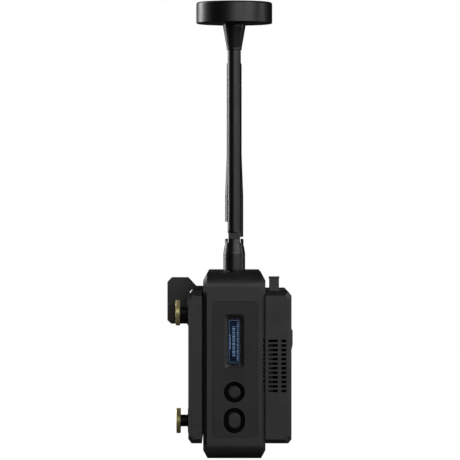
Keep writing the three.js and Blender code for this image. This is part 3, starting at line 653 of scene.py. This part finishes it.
def screw(axis, head_radius, ends, centre):
    """A cap screw with a hexagonal socket; ends run from its seat to its face."""
    seat, face = ends
    edge = math.copysign(SCREW["edge"], face - seat)
    head = stacked(axis, [
        (seat, circle(*centre, head_radius, 40)), (face - edge, circle(*centre, head_radius, 40)),
        (face, circle(*centre, head_radius - SCREW["edge"], 40)),
    ])
    deep = face - math.copysign(SCREW["socket"], face - seat)
    return cut(head, prism(axis, circle(*centre, head_radius * 0.5, 6), (deep, face + edge * 2)))


def screws(name, axis, head_radius, ends, centres):
    heads = [screw(axis, head_radius, ends, centre) for centre in centres]
    finished(joined(*heads), name, "black_steel", sharp=30)


SDI_NODES = ("sdi_connector_1", "sdi_connector_2")
REAR_SCREWS = [(x, z) for x in (-9.9, 9.9) for z in (5.4, 85.6)]


def rear_cap():
    through = (HOUSING_HIGH.y, REAR_FACE + 1)
    hdmi, usb = (centre_of(n).z for n in ("hdmi_connector", "usb_connector"))
    openings = [
        prism("y", pill(3.1, 7.8, hdmi, 0.6), through), prism("y", pill(1.95, 4.8, usb), through),
        prism("y", pill(1.6, 4.2, 82, 0.8), through),
    ]
    openings += [rod("y", 5.3, through, (0, centre_of(n).z)) for n in (*SDI_NODES, "power_inlet")]
    sinks = [rod("y", 2.1, (REAR_FACE - 0.9, REAR_FACE + 1), place, 40) for place in REAR_SCREWS]
    cap = placed(end_block(ROLL["rear_top"]), Matrix.Rotation(math.pi, 4, "Z"))
    recess = prism("y", rectangle((-7.6, 7.6), (4.6, 87.4), 2.2, 8), (REAR_FACE - 0.4, REAR_FACE + 1))
    cap = cut(cap, recess, *openings, *sinks)
    finished(softened(cap, 0.16), "connector_end_cap", "housing", stands_for="rear_cap")
    screws("connector_end_screws", "y", 1.85, (REAR_FACE - 1.4, REAR_FACE - 0.35), REAR_SCREWS)


def coaxial_socket(node, number):
    z = centre_of(node).z
    high = span(node)[1].y
    shell = [
        (0, 58, 0), (4.9, 58, 0), (4.9, 71.2, 0), (6.3, 71.2, 0.2), (6.3, 72.9, 0.25), (4.75, 72.9, 0),
        (4.75, 74.2, 0), (4.55, 74.4, 0), (4.55, 75.1, 0), (4.75, 75.3, 0), (4.75, high, 0.3),
        (4.05, high, 0.15), (4.05, 72, 0), (2.35, 72, 0), (2.35, 71, 0), (0, 71, 0),
    ]
    barrel = turned(profile_of(shell, 3), (0, z), "y")
    lugs = [rod("x", 1, ends, (77.6, z), 24) for ends in ((-5.5, -4.5), (4.5, 5.5))]
    barrel = union(barrel, *[softened(lug, 0.15) for lug in lugs])
    finished(barrel, f"video_socket_{number}", "steel", stands_for=node)
    core = [(0.55, 71.05, 0), (2.3, 71.05, 0), (2.3, 78.4, 0.2), (1.1, 78.4, 0), (0.55, 77.6, 0)]
    finished(turned(filleted(core, 3), (0, z), "y", 48), f"video_insulator_{number}", "white")
    contact = [(0.22, 71.6, 0), (0.5, 71.6, 0), (0.5, 77.4, 0.08), (0.22, 77.4, 0)]
    finished(turned(filleted(contact, 3), (0, z), "y", 24), f"video_contact_{number}", "gold")


def display_socket():
    z = centre_of("hdmi_connector").z

    def outline(half, side, up, slope, rounding):
        """An upright oblong whose right-hand corners are sloped."""
        right = [(side, -up), (half, -slope), (half, slope), (side, up)]
        return filleted([(u, z + v, rounding) for u, v in [(-half, -up), *right, (-half, up)]])

    shell = prism("y", outline(2.9, 2.2, 7.6, 6.9, 0.4), (59, REAR_FACE))
    mouth = prism("y", outline(2.45, 2.0, 7.15, 6.7, 0.2), (61, REAR_FACE + 1))
    finished(softened(cut(shell, mouth), 0.12), "display_socket", "steel", stands_for="hdmi_connector")
    tongue = prism("y", rectangle((-0.45, 0.6), (z - 5.6, z + 5.6), 0.2), (61.05, REAR_FACE - 1.4))
    finished(softened(tongue, 0.1), "display_socket_tongue", "tongue")
    pads = [block((-0.6, -0.47), (62, REAR_FACE - 1.8), (z + step - 0.15, z + step + 0.15))
            for step in [-4.5 + i for i in range(10)]]
    finished(joined(*pads), "display_socket_pads", "gold")


def data_socket():
    z = centre_of("usb_connector").z
    shell = prism("y", pill(1.75, 4.6, z), (61, REAR_FACE))
    shell = cut(shell, prism("y", pill(1.4, 4.25, z), (62.5, REAR_FACE + 1)))
    finished(softened(shell, 0.1), "data_socket", "steel", stands_for="usb_connector")
    tongue = prism("y", rectangle((-0.35, 0.35), (z - 3.3, z + 3.3), 0.2), (62.55, REAR_FACE - 1))
    finished(softened(tongue, 0.08), "data_socket_tongue", "tongue")


def power_socket():
    z = centre_of("power_inlet").z
    shell = [
        (0, 58, 0), (4.9, 58, 0), (4.9, 71.2, 0), (6.5, 71.2, 0.2), (6.5, 72.5, 0.3), (4.95, 72.5, 0),
        (4.95, 73.4, 0.2), (3.7, 73.4, 0.2), (3.7, 66, 0), (0, 66, 0),
    ]
    ring = turned(profile_of(shell, 3), (0, z), "y")
    notch = block((-0.5, 0.5), (69, REAR_FACE + 4), (z + 3.3, z + 4.2))
    finished(cut(ring, notch), "power_socket", "steel", stands_for="power_inlet")
    base = rod("y", 3.6, (66.05, 67), (0, z), 48)
    finished(softened(base, 0.2), "power_socket_base", "tongue")
    pin = profile_of([(0, 66.8, 0), (0.6, 66.8, 0), (0.6, 71.4, 0.4), (0, 71.4, 0)], 4)
    pins = [turned(pin, (x, z), "y", 24) for x in (-1.3, 1.3)]
    finished(joined(*pins), "power_socket_pins", "gold")


def power_switch():
    low, high = span("power_switch")
    z = (low.z, low.z + 3 + 1.4)
    foot = block((low.x, high.x), (low.y, low.y + 1.6), (low.z, high.z))
    ridged = prism("y", rectangle((-1.25, 1.25), (z[0] + 1.45, z[1]), 0.3), (low.y + 1.2, high.y))
    grooves = [block((-2, 2), (high.y - 0.35, high.y + 1), (z[0] + 1.45 + s, z[0] + 1.75 + s))
               for s in (0.55, 1.35, 2.15)]
    lever = union(foot, cut(softened(ridged, 0.2), *grooves))
    finished(lever, "power_lever", "plate", "switch", "power_switch")


def tripod_insert():
    profile = [(4, 0.1), (4, 2.5), (5.4, 2.5), (5.4, 4), (4, 4), (4, 9), (2.75, 9)]
    turns, pitch = 10, 0.8
    for i in range(turns):  # thread ridges inside the bore, from the top down
        top = 8.7 - i * pitch
        profile += [(2.6, top - 0.2), (2.75, top - 0.6)]
    profile += [(2.75, 0.3), (3.0, 0.1)]
    bush = turned(profile, (0, centre_of("tripod_insert").y))
    finished(bush, "tripod_bush", "steel", stands_for="tripod_insert")


# ---- stud plate and terminal block on the -X side ----

STUD_NODES = ("mount_stud_1", "mount_stud_2", "mount_stud_3")
STUD_FACE = span("stud_plate")[0].x + 3.6 + 0.9  # the plate's face, behind its bosses and the necks


def plate_block(node, face, back, chamfer):
    """A plate whose outward face and whose two ends have chamfered edges; chamfer is across and up."""
    low, high = span(node)
    across, up = chamfer
    outward = math.copysign(1, face)

    def outline(share):
        outer = face - outward * across * share
        slope = outer - outward * across
        bottom, top = low.z + up * share, high.z - up * share
        corners = [(back, bottom), (slope, bottom), (outer, bottom + up)]
        corners += [(outer, top - up), (slope, top), (back, top)]
        rounding = [0, 0.4, 0.4, 0.4, 0.4, 0]
        return filleted([(*corner, r) for corner, r in zip(corners, rounding)], 3)

    ends = (low.y, high.y)
    levels = [(ends[0], 1), (ends[0] + across, 0), (ends[1] - across, 0), (ends[1], 1)]
    return stacked("y", [(y, outline(share)) for y, share in levels])


def stud_plate():
    face, neck_end = STUD_FACE, span("stud_plate")[0].x
    plate = plate_block("stud_plate", face, -15.9, (1.6, 2.2))
    pad = block((-16.4, -WIDE), (-58, 58), (span("stud_plate")[0].z + 5, span("stud_plate")[1].z - 5))
    studs = [centre_of(n) for n in STUD_NODES]
    boss = [
        (0, 21, 0), (6.35, 21, 0), (6.35, 0.9 - face, 0.35), (3.4, 0.9 - face, 0.2),
        (3.0, 1.3 - face, 0.2), (3.0, -neck_end, 0.1), (0, -neck_end, 0),
    ]
    posts = [turned(profile_of(boss, 4), (stud.y, stud.z), "x", flip=-1) for stud in studs]
    plate = union(softened(plate, 0.25), pad, *posts)
    bores = [rod("x", 1.7, (neck_end - 1, -13.9), (stud.y, stud.z), 32) for stud in studs]
    places = [(y, z) for y in (-58, 0, 58) for z in (13.5, 75.5) if (y, z) != (0, 75.5)]
    places = [(y, z) if y else (18, z) for y, z in places] + [(-18, 13.5)]
    sinks = [rod("x", SCREW["sink"], (face - 1, face + 0.8), place, 40) for place in places]
    seam = [block((face - 1, face + 0.35), (-60, 60), (z - 0.2, z + 0.2)) for z in (26.5, 57.5)]
    finished(cut(plate, *bores, *sinks, *seam), "stud_plate_shell", "plate", stands_for="stud_plate")
    screws("stud_plate_screws", "x", SCREW["head"], (face + 1.3, face + 0.3), places)


def mount_studs():
    for number, node in enumerate(STUD_NODES, 1):
        low, high = span(node)
        centre = centre_of(node)
        inner, outer = -(low.x + 2.2), -low.x
        profile = [
            (0, -high.x, 0), (1.6, -high.x, 0), (1.6, inner, 0), (6.4, inner, 0.3),
            (6.4, outer, 0.35), (3.1, outer, 0.2), (2.7, outer - 0.3, 0.1), (0, outer - 0.3, 0),
        ]
        stud = turned(profile_of(profile, 4), (centre.y, centre.z), "x", flip=-1)
        slot = block((low.x - 1, low.x + 1.1), (centre.y - 0.45, centre.y + 0.45),
                     (centre.z - 2.5, centre.z + 2.5))
        finished(cut(stud, slot), f"brass_stud_{number}", "brass", stands_for=node)


def terminal_block():
    low, high = span("terminal_block")
    face, shelf = STUD_FACE, 83.7
    rest = span("stud_plate")[1].z + 0.1
    corners = [
        (low.x + 1.9, low.z, 0.2), (face, low.z, 0), (face, rest - 1.4, 0), (face + 1.3, rest, 0),
        (-WIDE, rest, 0), (-WIDE, shelf, 0), (-19.3, shelf, 0.3), (-23.4, high.z, 0.3),
        (low.x + 1.9, high.z, 0.3), (low.x, high.z - 2.1, 0.3), (low.x, low.z + 1.8, 0.3),
    ]
    shape = softened(prism("y", filleted(corners, 3), (low.y, high.y)), 1.15, 1, 50)
    sockets = [centre_of(f"terminal_socket_{k}") for k in (1, 2)]
    holes = [rod("z", 2.8, (low.z - 1, low.z + 11), (s.x, s.y), 40) for s in sockets]
    window = block((low.x - 1, low.x + 0.5), (-7.5, 7.5), (70.5, 82.5))
    finished(cut(shape, *holes, window), "terminal_housing", "plate", stands_for="terminal_block")
    for k, socket in enumerate(sockets, 1):
        bottom, top = span(f"terminal_socket_{k}")[0].z, span(f"terminal_socket_{k}")[1].z
        profile = [(0, top - 1, 0), (1.95, top - 1, 0), (1.95, bottom, 0.3)]
        profile += [(2.7, bottom, 0.2), (2.7, top, 0), (0, top, 0)]
        tube = turned(profile_of(profile, 3), (socket.x, socket.y), steps=40)
        finished(tube, f"terminal_tube_{k}", "brass", stands_for=f"terminal_socket_{k}")


# ---- battery plate on the +X side ----

BATTERY_WALL = 2.2
PAD_HEIGHT = 0.7  # of the two bearing pads on the battery plate's face
BATTERY_FACE = span("battery_plate")[1].x - PAD_HEIGHT
KEYHOLE = {"entry": 7.0, "slot": 3.3, "lift": 9.5}
BATTERY_VENT = {"rows": 12, "first": 33.3, "pitch": 2.23, "half": 0.68}
BATTERY_VENT_COLUMNS = ((16.7, 21.4), (23.05, 25.5))
NOTCH = {"half": 15.0, "floor": 64.0, "depth": 11.5, "wall": 2.0}


def keyhole_cutters(y, z):
    past = (BATTERY_FACE - BATTERY_WALL - 1, BATTERY_FACE + 1)
    entry = rod("x", KEYHOLE["entry"], (20.4, past[1]), (y, z + KEYHOLE["lift"]))
    half = KEYHOLE["slot"]
    slot_shape = rectangle((y - half, y + half), (z - half, z + KEYHOLE["lift"]), half - 0.01, 12)
    return [entry, prism("x", slot_shape, past)]


def battery_vents():
    low = span("battery_plate")[0].y
    pairs = zip(*[vent_slots(BATTERY_VENT, column) for column in BATTERY_VENT_COLUMNS])
    return [prism("y", slot, (low - 1, low + BATTERY_WALL + 0.5)) for pair in pairs for slot in pair]


def bearing_pads():
    """Low pads near both ends of the battery plate's face."""
    face = BATTERY_FACE
    top = face + PAD_HEIGHT
    shape = [(face - 1, 52.7, 0), (face, 52.7, 0), (top, 55.7, 0.6), (top, 62.6, 0.4)]
    shape += [(face, 63.6, 0), (face - 1, 63.6, 0)]
    return [prism("y", filleted(shape), ends) for ends in ((-60, -44), (44, 60))]


def battery_plate():
    low, high = span("battery_plate")
    half = high.y - BATTERY_WALL
    block_shape = softened(plate_block("battery_plate", BATTERY_FACE, WIDE, (1.6, 2.0)), 0.2)
    cavity = block((WIDE - 1, BATTERY_FACE - BATTERY_WALL), (-half, half),
                   (low.z + BATTERY_WALL, high.z - BATTERY_WALL))
    outer = NOTCH["half"] + NOTCH["wall"]
    kept = block((WIDE - 2, BATTERY_FACE), (-outer, outer), (NOTCH["floor"] - NOTCH["wall"], high.z + 1))
    notch_shape = rectangle((-NOTCH["half"], NOTCH["half"]), (NOTCH["floor"], high.z + 9), 1.2)
    notch = prism("x", notch_shape, (BATTERY_FACE - NOTCH["depth"], BATTERY_FACE + 1))
    pins = [centre_of(f"power_pin_{k}") for k in (1, 2)]
    holes = [rod("z", 2.0, (NOTCH["floor"] - 3, NOTCH["floor"] + 1), (p.x, p.y), 40) for p in pins]
    button_low, button_high = span("release_button")
    slot = block((button_low.x - 0.3, button_high.x + 0.3), (button_low.y - 0.3, button_high.y + 0.3),
                 (high.z - BATTERY_WALL - 1, high.z + 1))
    seats = [c for node in STUD_NODES for c in keyhole_cutters(centre_of(node).y, centre_of(node).z)]
    places = [(y, z) for y in (-58, -20, 20, 58) for z in (13.5, 75.5) if abs(y) > 20 or z < 20]
    sinks = [rod("x", SCREW["sink"], (BATTERY_FACE - 0.8, BATTERY_FACE + 1), place, 40) for place in places]
    shell = cut(block_shape, cut(cavity, kept), notch, *holes, slot, *seats, *sinks, *battery_vents())
    shell = union(shell, *bearing_pads())
    finished(shell, "battery_plate_shell", "plate", stands_for="battery_plate")
    screws("battery_plate_screws", "x", SCREW["head"], (BATTERY_FACE - 1.3, BATTERY_FACE - 0.3), places)


def battery_contacts():
    for k in (1, 2):
        low, high = span(f"power_pin_{k}")
        centre = centre_of(f"power_pin_{k}")
        profile = [(0, low.z, 0), (1.9, low.z, 0), (1.9, high.z - 1.0, 0.4)]
        profile += [(1.1, high.z, 0.3), (0, high.z, 0)]
        pin = turned(profile_of(profile, 4), (centre.x, centre.y), steps=40)
        finished(pin, f"battery_pin_{k}", "brass", stands_for=f"power_pin_{k}")


def release_parts():
    low, high = span("release_button")
    lip = 1.1
    stem = block((low.x + 0.2, high.x - 0.2), (low.y + 0.2, high.y - 0.2), (low.z, high.z - lip + 0.1))
    cap = prism("z", rectangle((low.x, high.x), (low.y, high.y), 0.5), (high.z - lip, high.z))
    grooves = [block((low.x - 1, high.x + 1), (low.y + s, low.y + s + 0.35), (high.z - 0.3, high.z + 1))
               for s in (1.2, 2.2, 3.2, 4.2, 5.2)]
    button = union(softened(stem, 0.25), cut(softened(cap, 0.25), *grooves))
    finished(button, "release_key", "release", "release", "release_button")
    low, high = span("latch_slider")
    bolt_low, bolt_high = span("latch_bolt")
    upright = block((low.x, high.x), (low.y, low.y + 5.2), (low.z, high.z))
    foot = block((low.x, high.x), (low.y + 2.6, high.y), (low.z, low.z + 13))
    slot = block((low.x - 1, high.x + 1), (bolt_low.y - 0.3, bolt_high.y + 0.3),
                 (bolt_low.z - 0.3, bolt_high.z + 3.6))
    finished(softened(cut(union(upright, foot), slot), 0.2), "latch_bar", "black_steel", "release",
             "latch_slider")
    low, high = bolt_low, bolt_high
    wedge = [(low.x, low.z, 0.1), (high.x, low.z, 0.3), (high.x, low.z + 1.4, 0.5)]
    wedge += [(high.x - 1.6, high.z, 0.4), (low.x, high.z, 0.1)]
    finished(softened(prism("y", filleted(wedge, 4), (low.y, high.y)), 0.2), "latch_tooth", "steel",
             "latch", "latch_bolt")


def release_spring():
    """A round wire coil."""
    low, high = span("release_spring")
    centre = centre_of("release_spring")
    radius, wire, turns, steps = 1.7, 0.3, 5, 24
    bottom, height = low.z + wire, high.z - low.z - 2 * wire
    points, faces, ring = [], [], 10
    for i in range(turns * steps + 1):
        share = i / (turns * steps)
        angle = share * turns * 2 * math.pi
        out = Vector((math.cos(angle), math.sin(angle), 0))
        middle = Vector((centre.x, centre.y, bottom + share * height)) + out * radius
        for k in range(ring):
            turn = 2 * math.pi * k / ring
            points.append(middle + out * wire * math.cos(turn) + Vector((0, 0, wire * math.sin(turn))))
    for i in range(turns * steps):
        for k in range(ring):
            j = (k + 1) % ring
            faces.append([i * ring + k, i * ring + j, (i + 1) * ring + j, (i + 1) * ring + k])
    faces += [list(range(ring)), list(range(len(points) - ring, len(points)))]
    coil = finished(solid(points, faces), "release_coil", "steel", stands_for="release_spring")
    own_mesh(coil)


# ---- antennas ----

ELBOW_Z = 105.0
PIN_BORE = 1.15
FORK_HALF, FORK_FLOOR = 3.1, 102.1  # the slot that holds the tongue
TONGUE = (2.9, 2.6)  # half width along the pin, and the radius of its foot
KNUCKLE = {"radius": 5.6, "half": 2.9}  # the disc antenna's, which fills its fork flush with the foot
WHIP_GROOVES = (184.6, 186.8)


def facing(piece, k):
    """Turns a piece modelled with its pin along X to antenna k's place; the whips fold towards -X."""
    turn = Matrix.Rotation(0 if k == 1 else -math.pi / 2, 4, "Z")
    return placed(piece, Matrix.Translation((0, ANTENNA_Y[k - 1], 0)) @ turn)


def foot_body(shrink=0.0):
    """The round body of an antenna's foot, above its seat on the housing."""
    low, high = span("antenna_base_1")
    profile = [
        (0, low.z, 0), (5.4 - shrink, low.z, 0.25), (5.4 - shrink, 100.6, 2.5), (4.7 - shrink, ELBOW_Z, 1.5),
        (4.5 - shrink, high.z, 0.35), (0, high.z, 0),
    ]
    return turned(profile_of(profile, 6))


def elbow_bore():
    return rod("x", PIN_BORE, (-9, 9), (0, ELBOW_Z), 32)


def antenna_foot(k):
    low, high = span(f"antenna_base_{k}")
    foot = cut(foot_body(), rod("z", 3.4, (low.z - 1, 98.2), (0, 0)))
    slot = block((-FORK_HALF, FORK_HALF), (-9, 9), (FORK_FLOOR if k > 1 else ELBOW_Z, high.z + 1))
    above = block((-9, 9), (-9, 9), (ELBOW_Z, high.z + 1))
    above = cut(above, rod("x", 2.95, (-9.5, 9.5), (0, ELBOW_Z), 48))
    shape = cut(foot, slot, above, elbow_bore())
    if k > 1:
        shape = cut(shape, block((-9, 9), (-9, -3.4), (FORK_FLOOR, high.z)))
    else:
        shape = cut(shape, rod("x", KNUCKLE["radius"] + 0.2, (-FORK_HALF, FORK_HALF), (0, ELBOW_Z), 64))
    rings = [turned([(5.2, z), (5.8, z), (5.8, z + 0.25), (5.2, z + 0.25)]) for z in (93.2, 98.9)]
    shape = softened(cut(shape, *rings), 0.16, 2, 40)
    finished(facing(shape, k), f"antenna_foot_{k}", "antenna", f"base_{k}", f"antenna_base_{k}")
    pin = [(0, -4.3, 0), (1, -4.3, 0.25), (1, 4.3, 0.25), (0, 4.3, 0)]
    pin = facing(turned(profile_of(pin, 4), (0, ELBOW_Z), "x", 32), k)
    finished(pin, f"elbow_pin_{k}", "black_steel", f"base_{k}", f"hinge_pin_{k}")


def antenna_socket(k):
    profile = [
        (0, 80, 0), (1.2, 80, 0), (1.2, 85, 0), (4.4, 85, 0), (4.4, TALL - 2.4, 0), (3.1, TALL - 2.4, 0),
        (3.1, 97.6, 0.2), (2.3, 97.6, 0.1), (2.3, 95, 0), (0, 95, 0),
    ]
    socket = turned(profile_of(profile, 3), (0, ANTENNA_Y[k - 1]), steps=48)
    finished(socket, f"antenna_socket_{k}", "black_steel", stands_for=f"antenna_connector_{k}")


def tongue(top):
    half, radius = TONGUE
    foot = rod("x", radius, (-half, half), (0, ELBOW_Z), 48)
    return softened(union(foot, block((-half, half), (-radius, radius), (ELBOW_Z, top))), 0.3, 3, 40)


def whip(k):
    low, high = 108.7, span(f"whip_{k}")[1].z
    profile = [(0, low, 0), (4.55, low, 0.4), (4.55, 129.4, 60), (3.75, 149.8, 60)]
    for z in WHIP_GROOVES:
        profile += [(3.75, z - 0.25, 0), (3.5, z - 0.1, 0), (3.5, z + 0.1, 0), (3.75, z + 0.25, 0)]
    profile += [(3.75, high, 1.9), (0, high, 0)]
    relief = block((-9, 9), (-9, -TONGUE[1]), (low - 1, 116.5))
    body = softened(cut(turned(profile_of(profile, 8)), relief), 0.3, 3, 45)
    body = cut(union(body, tongue(low + 1.5)), elbow_bore())
    finished(facing(body, k), f"whip_antenna_{k}", "antenna", f"antenna_{k}", f"whip_{k}")


def disc_antenna():
    low, high = span("disc_radome")
    element_low = 214.0
    radius = (high.x - low.x) / 2
    flange = radius - 1.8
    profile = [
        (0, 110.7, 0), (3.27, 110.7, 0.3), (3.27, 200.9, 0.1), (3.73, 201.1, 0.15), (3.73, 202.2, 0.5),
        (5.55, 212.5, 0.6), (5.55, element_low, 0.3), (flange, element_low, 0.1),
        (flange, element_low + 1.8, 0), (0, element_low + 1.8, 0),
    ]
    barrel = rod("x", KNUCKLE["radius"], (-KNUCKLE["half"], KNUCKLE["half"]), (0, ELBOW_Z), 64)
    knuckle = common(foot_body(0.05), barrel)
    stem = union(turned(profile_of(profile, 6)), tongue(112), knuckle)
    mast = cut(softened(stem, 0.25, 2, 40), elbow_bore())
    finished(facing(mast, 1), "disc_stem", "antenna", "antenna_1", "disc_mast")
    cap = [
        (0, high.z - 1.6, 0), (radius - 1.6, high.z - 1.6, 0), (radius - 1.6, element_low, 0),
        (radius, element_low, 0.6), (radius, high.z, 1.1), (0, high.z, 0),
    ]
    dome = turned(profile_of(cap, 8), (0, ANTENNA_Y[0]), steps=128)
    finished(dome, "disc_cover", "antenna", "antenna_1", "disc_radome")


def hidden_parts():
    """The inner pieces keep their CAD shape and get a real finish."""
    finishes = {
        "circuit": ("main_board", "rf_board", "button_board", "disc_element"),
        "tin": ("shield_can", "heatsink"),
        "fan": ("fan_frame", "fan_rotor"),
        "black_steel": ("latch_guide",),
    }
    for finish, nodes in finishes.items():
        for node in nodes:
            mesh = frame["nodes"][node].data
            mesh.materials.clear()
            mesh.materials.append(FINISHES[finish])


# ---- studio ----


def studio():
    mesh = bpy.data.meshes.new("floor")
    reach, curve, height = 3.2, 1.2, 3.0
    steps = 24
    rows = [(-reach, 0.0), (reach - curve, 0.0)]
    rows += [(reach - curve + curve * math.sin(a), curve - curve * math.cos(a))
             for a in (math.pi / 2 * k / steps for k in range(1, steps + 1))]
    rows.append((reach, height))
    points = [(side * reach * 1.6, y, z) for y, z in rows for side in (-1, 1)]
    faces = [[2 * i, 2 * i + 1, 2 * i + 3, 2 * i + 2] for i in range(len(rows) - 1)]
    mesh.from_pydata(points, [], faces)
    mesh.shade_smooth()
    floor = linked("studio_floor", mesh)
    pale = Finish("pale_floor", (0.08, 0.08, 0.08), 0.9, specular=0.0)
    pale.set(pale.shader, "Emission Color", (1, 1, 1, 1))
    glow = pale.tree.nodes.new("ShaderNodeMath")
    glow.operation = "MULTIPLY"
    glow.inputs[1].default_value = 0.985
    path = pale.tree.nodes.new("ShaderNodeLightPath")
    pale.tree.links.new(path.outputs["Is Camera Ray"], glow.inputs[0])
    pale.link(glow.outputs["Value"], pale.shader, "Emission Strength")
    mesh.materials.append(pale.material)


def soft_light(name, place, target, size, power):
    data = bpy.data.lights.new(name, "AREA")
    data.shape, data.size, data.size_y = "RECTANGLE", size[0], size[1]
    data.energy = power
    light = linked(name, data)
    light.location = place
    light.rotation_euler = (Vector(target) - Vector(place)).to_track_quat("-Z", "Y").to_euler()


def world(sky, seen):
    """An even sky that lights the object softly, and a white backdrop where the camera looks past it."""
    made = bpy.data.worlds.new("studio")
    bpy.context.scene.world = made
    made.use_nodes = True
    tree = made.node_tree
    background = tree.nodes["Background"]
    background.inputs["Color"].default_value = (sky, sky, sky, 1)
    white = tree.nodes.new("ShaderNodeBackground")
    white.inputs["Color"].default_value = (seen, seen, seen, 1)
    path = tree.nodes.new("ShaderNodeLightPath")
    mix = tree.nodes.new("ShaderNodeMixShader")
    tree.links.new(path.outputs["Is Camera Ray"], mix.inputs["Fac"])
    tree.links.new(background.outputs["Background"], mix.inputs[1])
    tree.links.new(white.outputs["Background"], mix.inputs[2])
    tree.links.new(mix.outputs["Shader"], tree.nodes["World Output"].inputs["Surface"])


def lights():
    target = (0, -0.03, 0.1)
    soft_light("key", (1.45, -1.45, 0.8), target, (1.3, 1.2), 20)
    soft_light("front_fill", (0.4, -2.6, 0.75), target, (1.3, 1.0), 18)
    soft_light("left_rim", (-1.25, 0.72, 0.45), target, (0.5, 1.2), 19)
    soft_light("right_side", (1.5, 0.02, 0.1), target, (0.35, 0.9), 3.5)


def camera():
    data = bpy.data.cameras.new("camera")
    data.sensor_width = 36
    data.lens = 303.5
    data.clip_start, data.clip_end = 0.05, 20
    view = linked("camera", data)
    view.location = (-0.0021, -1.971, 0.1122)
    view.rotation_euler = (math.pi / 2, 0, 0)
    bpy.context.scene.camera = view


# ---- assembly ----

main_housing()
front_cap()
front_panel()
keys()
display()
rear_cap()
for number, node in enumerate(SDI_NODES, 1):
    coaxial_socket(node, number)
display_socket()
data_socket()
power_socket()
power_switch()
tripod_insert()
stud_plate()
mount_studs()
terminal_block()
battery_plate()
battery_contacts()
release_parts()
release_spring()
for k in range(1, 6):
    antenna_foot(k)
    antenna_socket(k)
    if k > 1:
        whip(k)
disc_antenna()
hidden_parts()

studio()
world(0.03, 1.0)
lights()
camera()

bpy.context.scene.view_settings.view_transform = "Standard"
bpy.context.scene.cycles.use_denoising = True
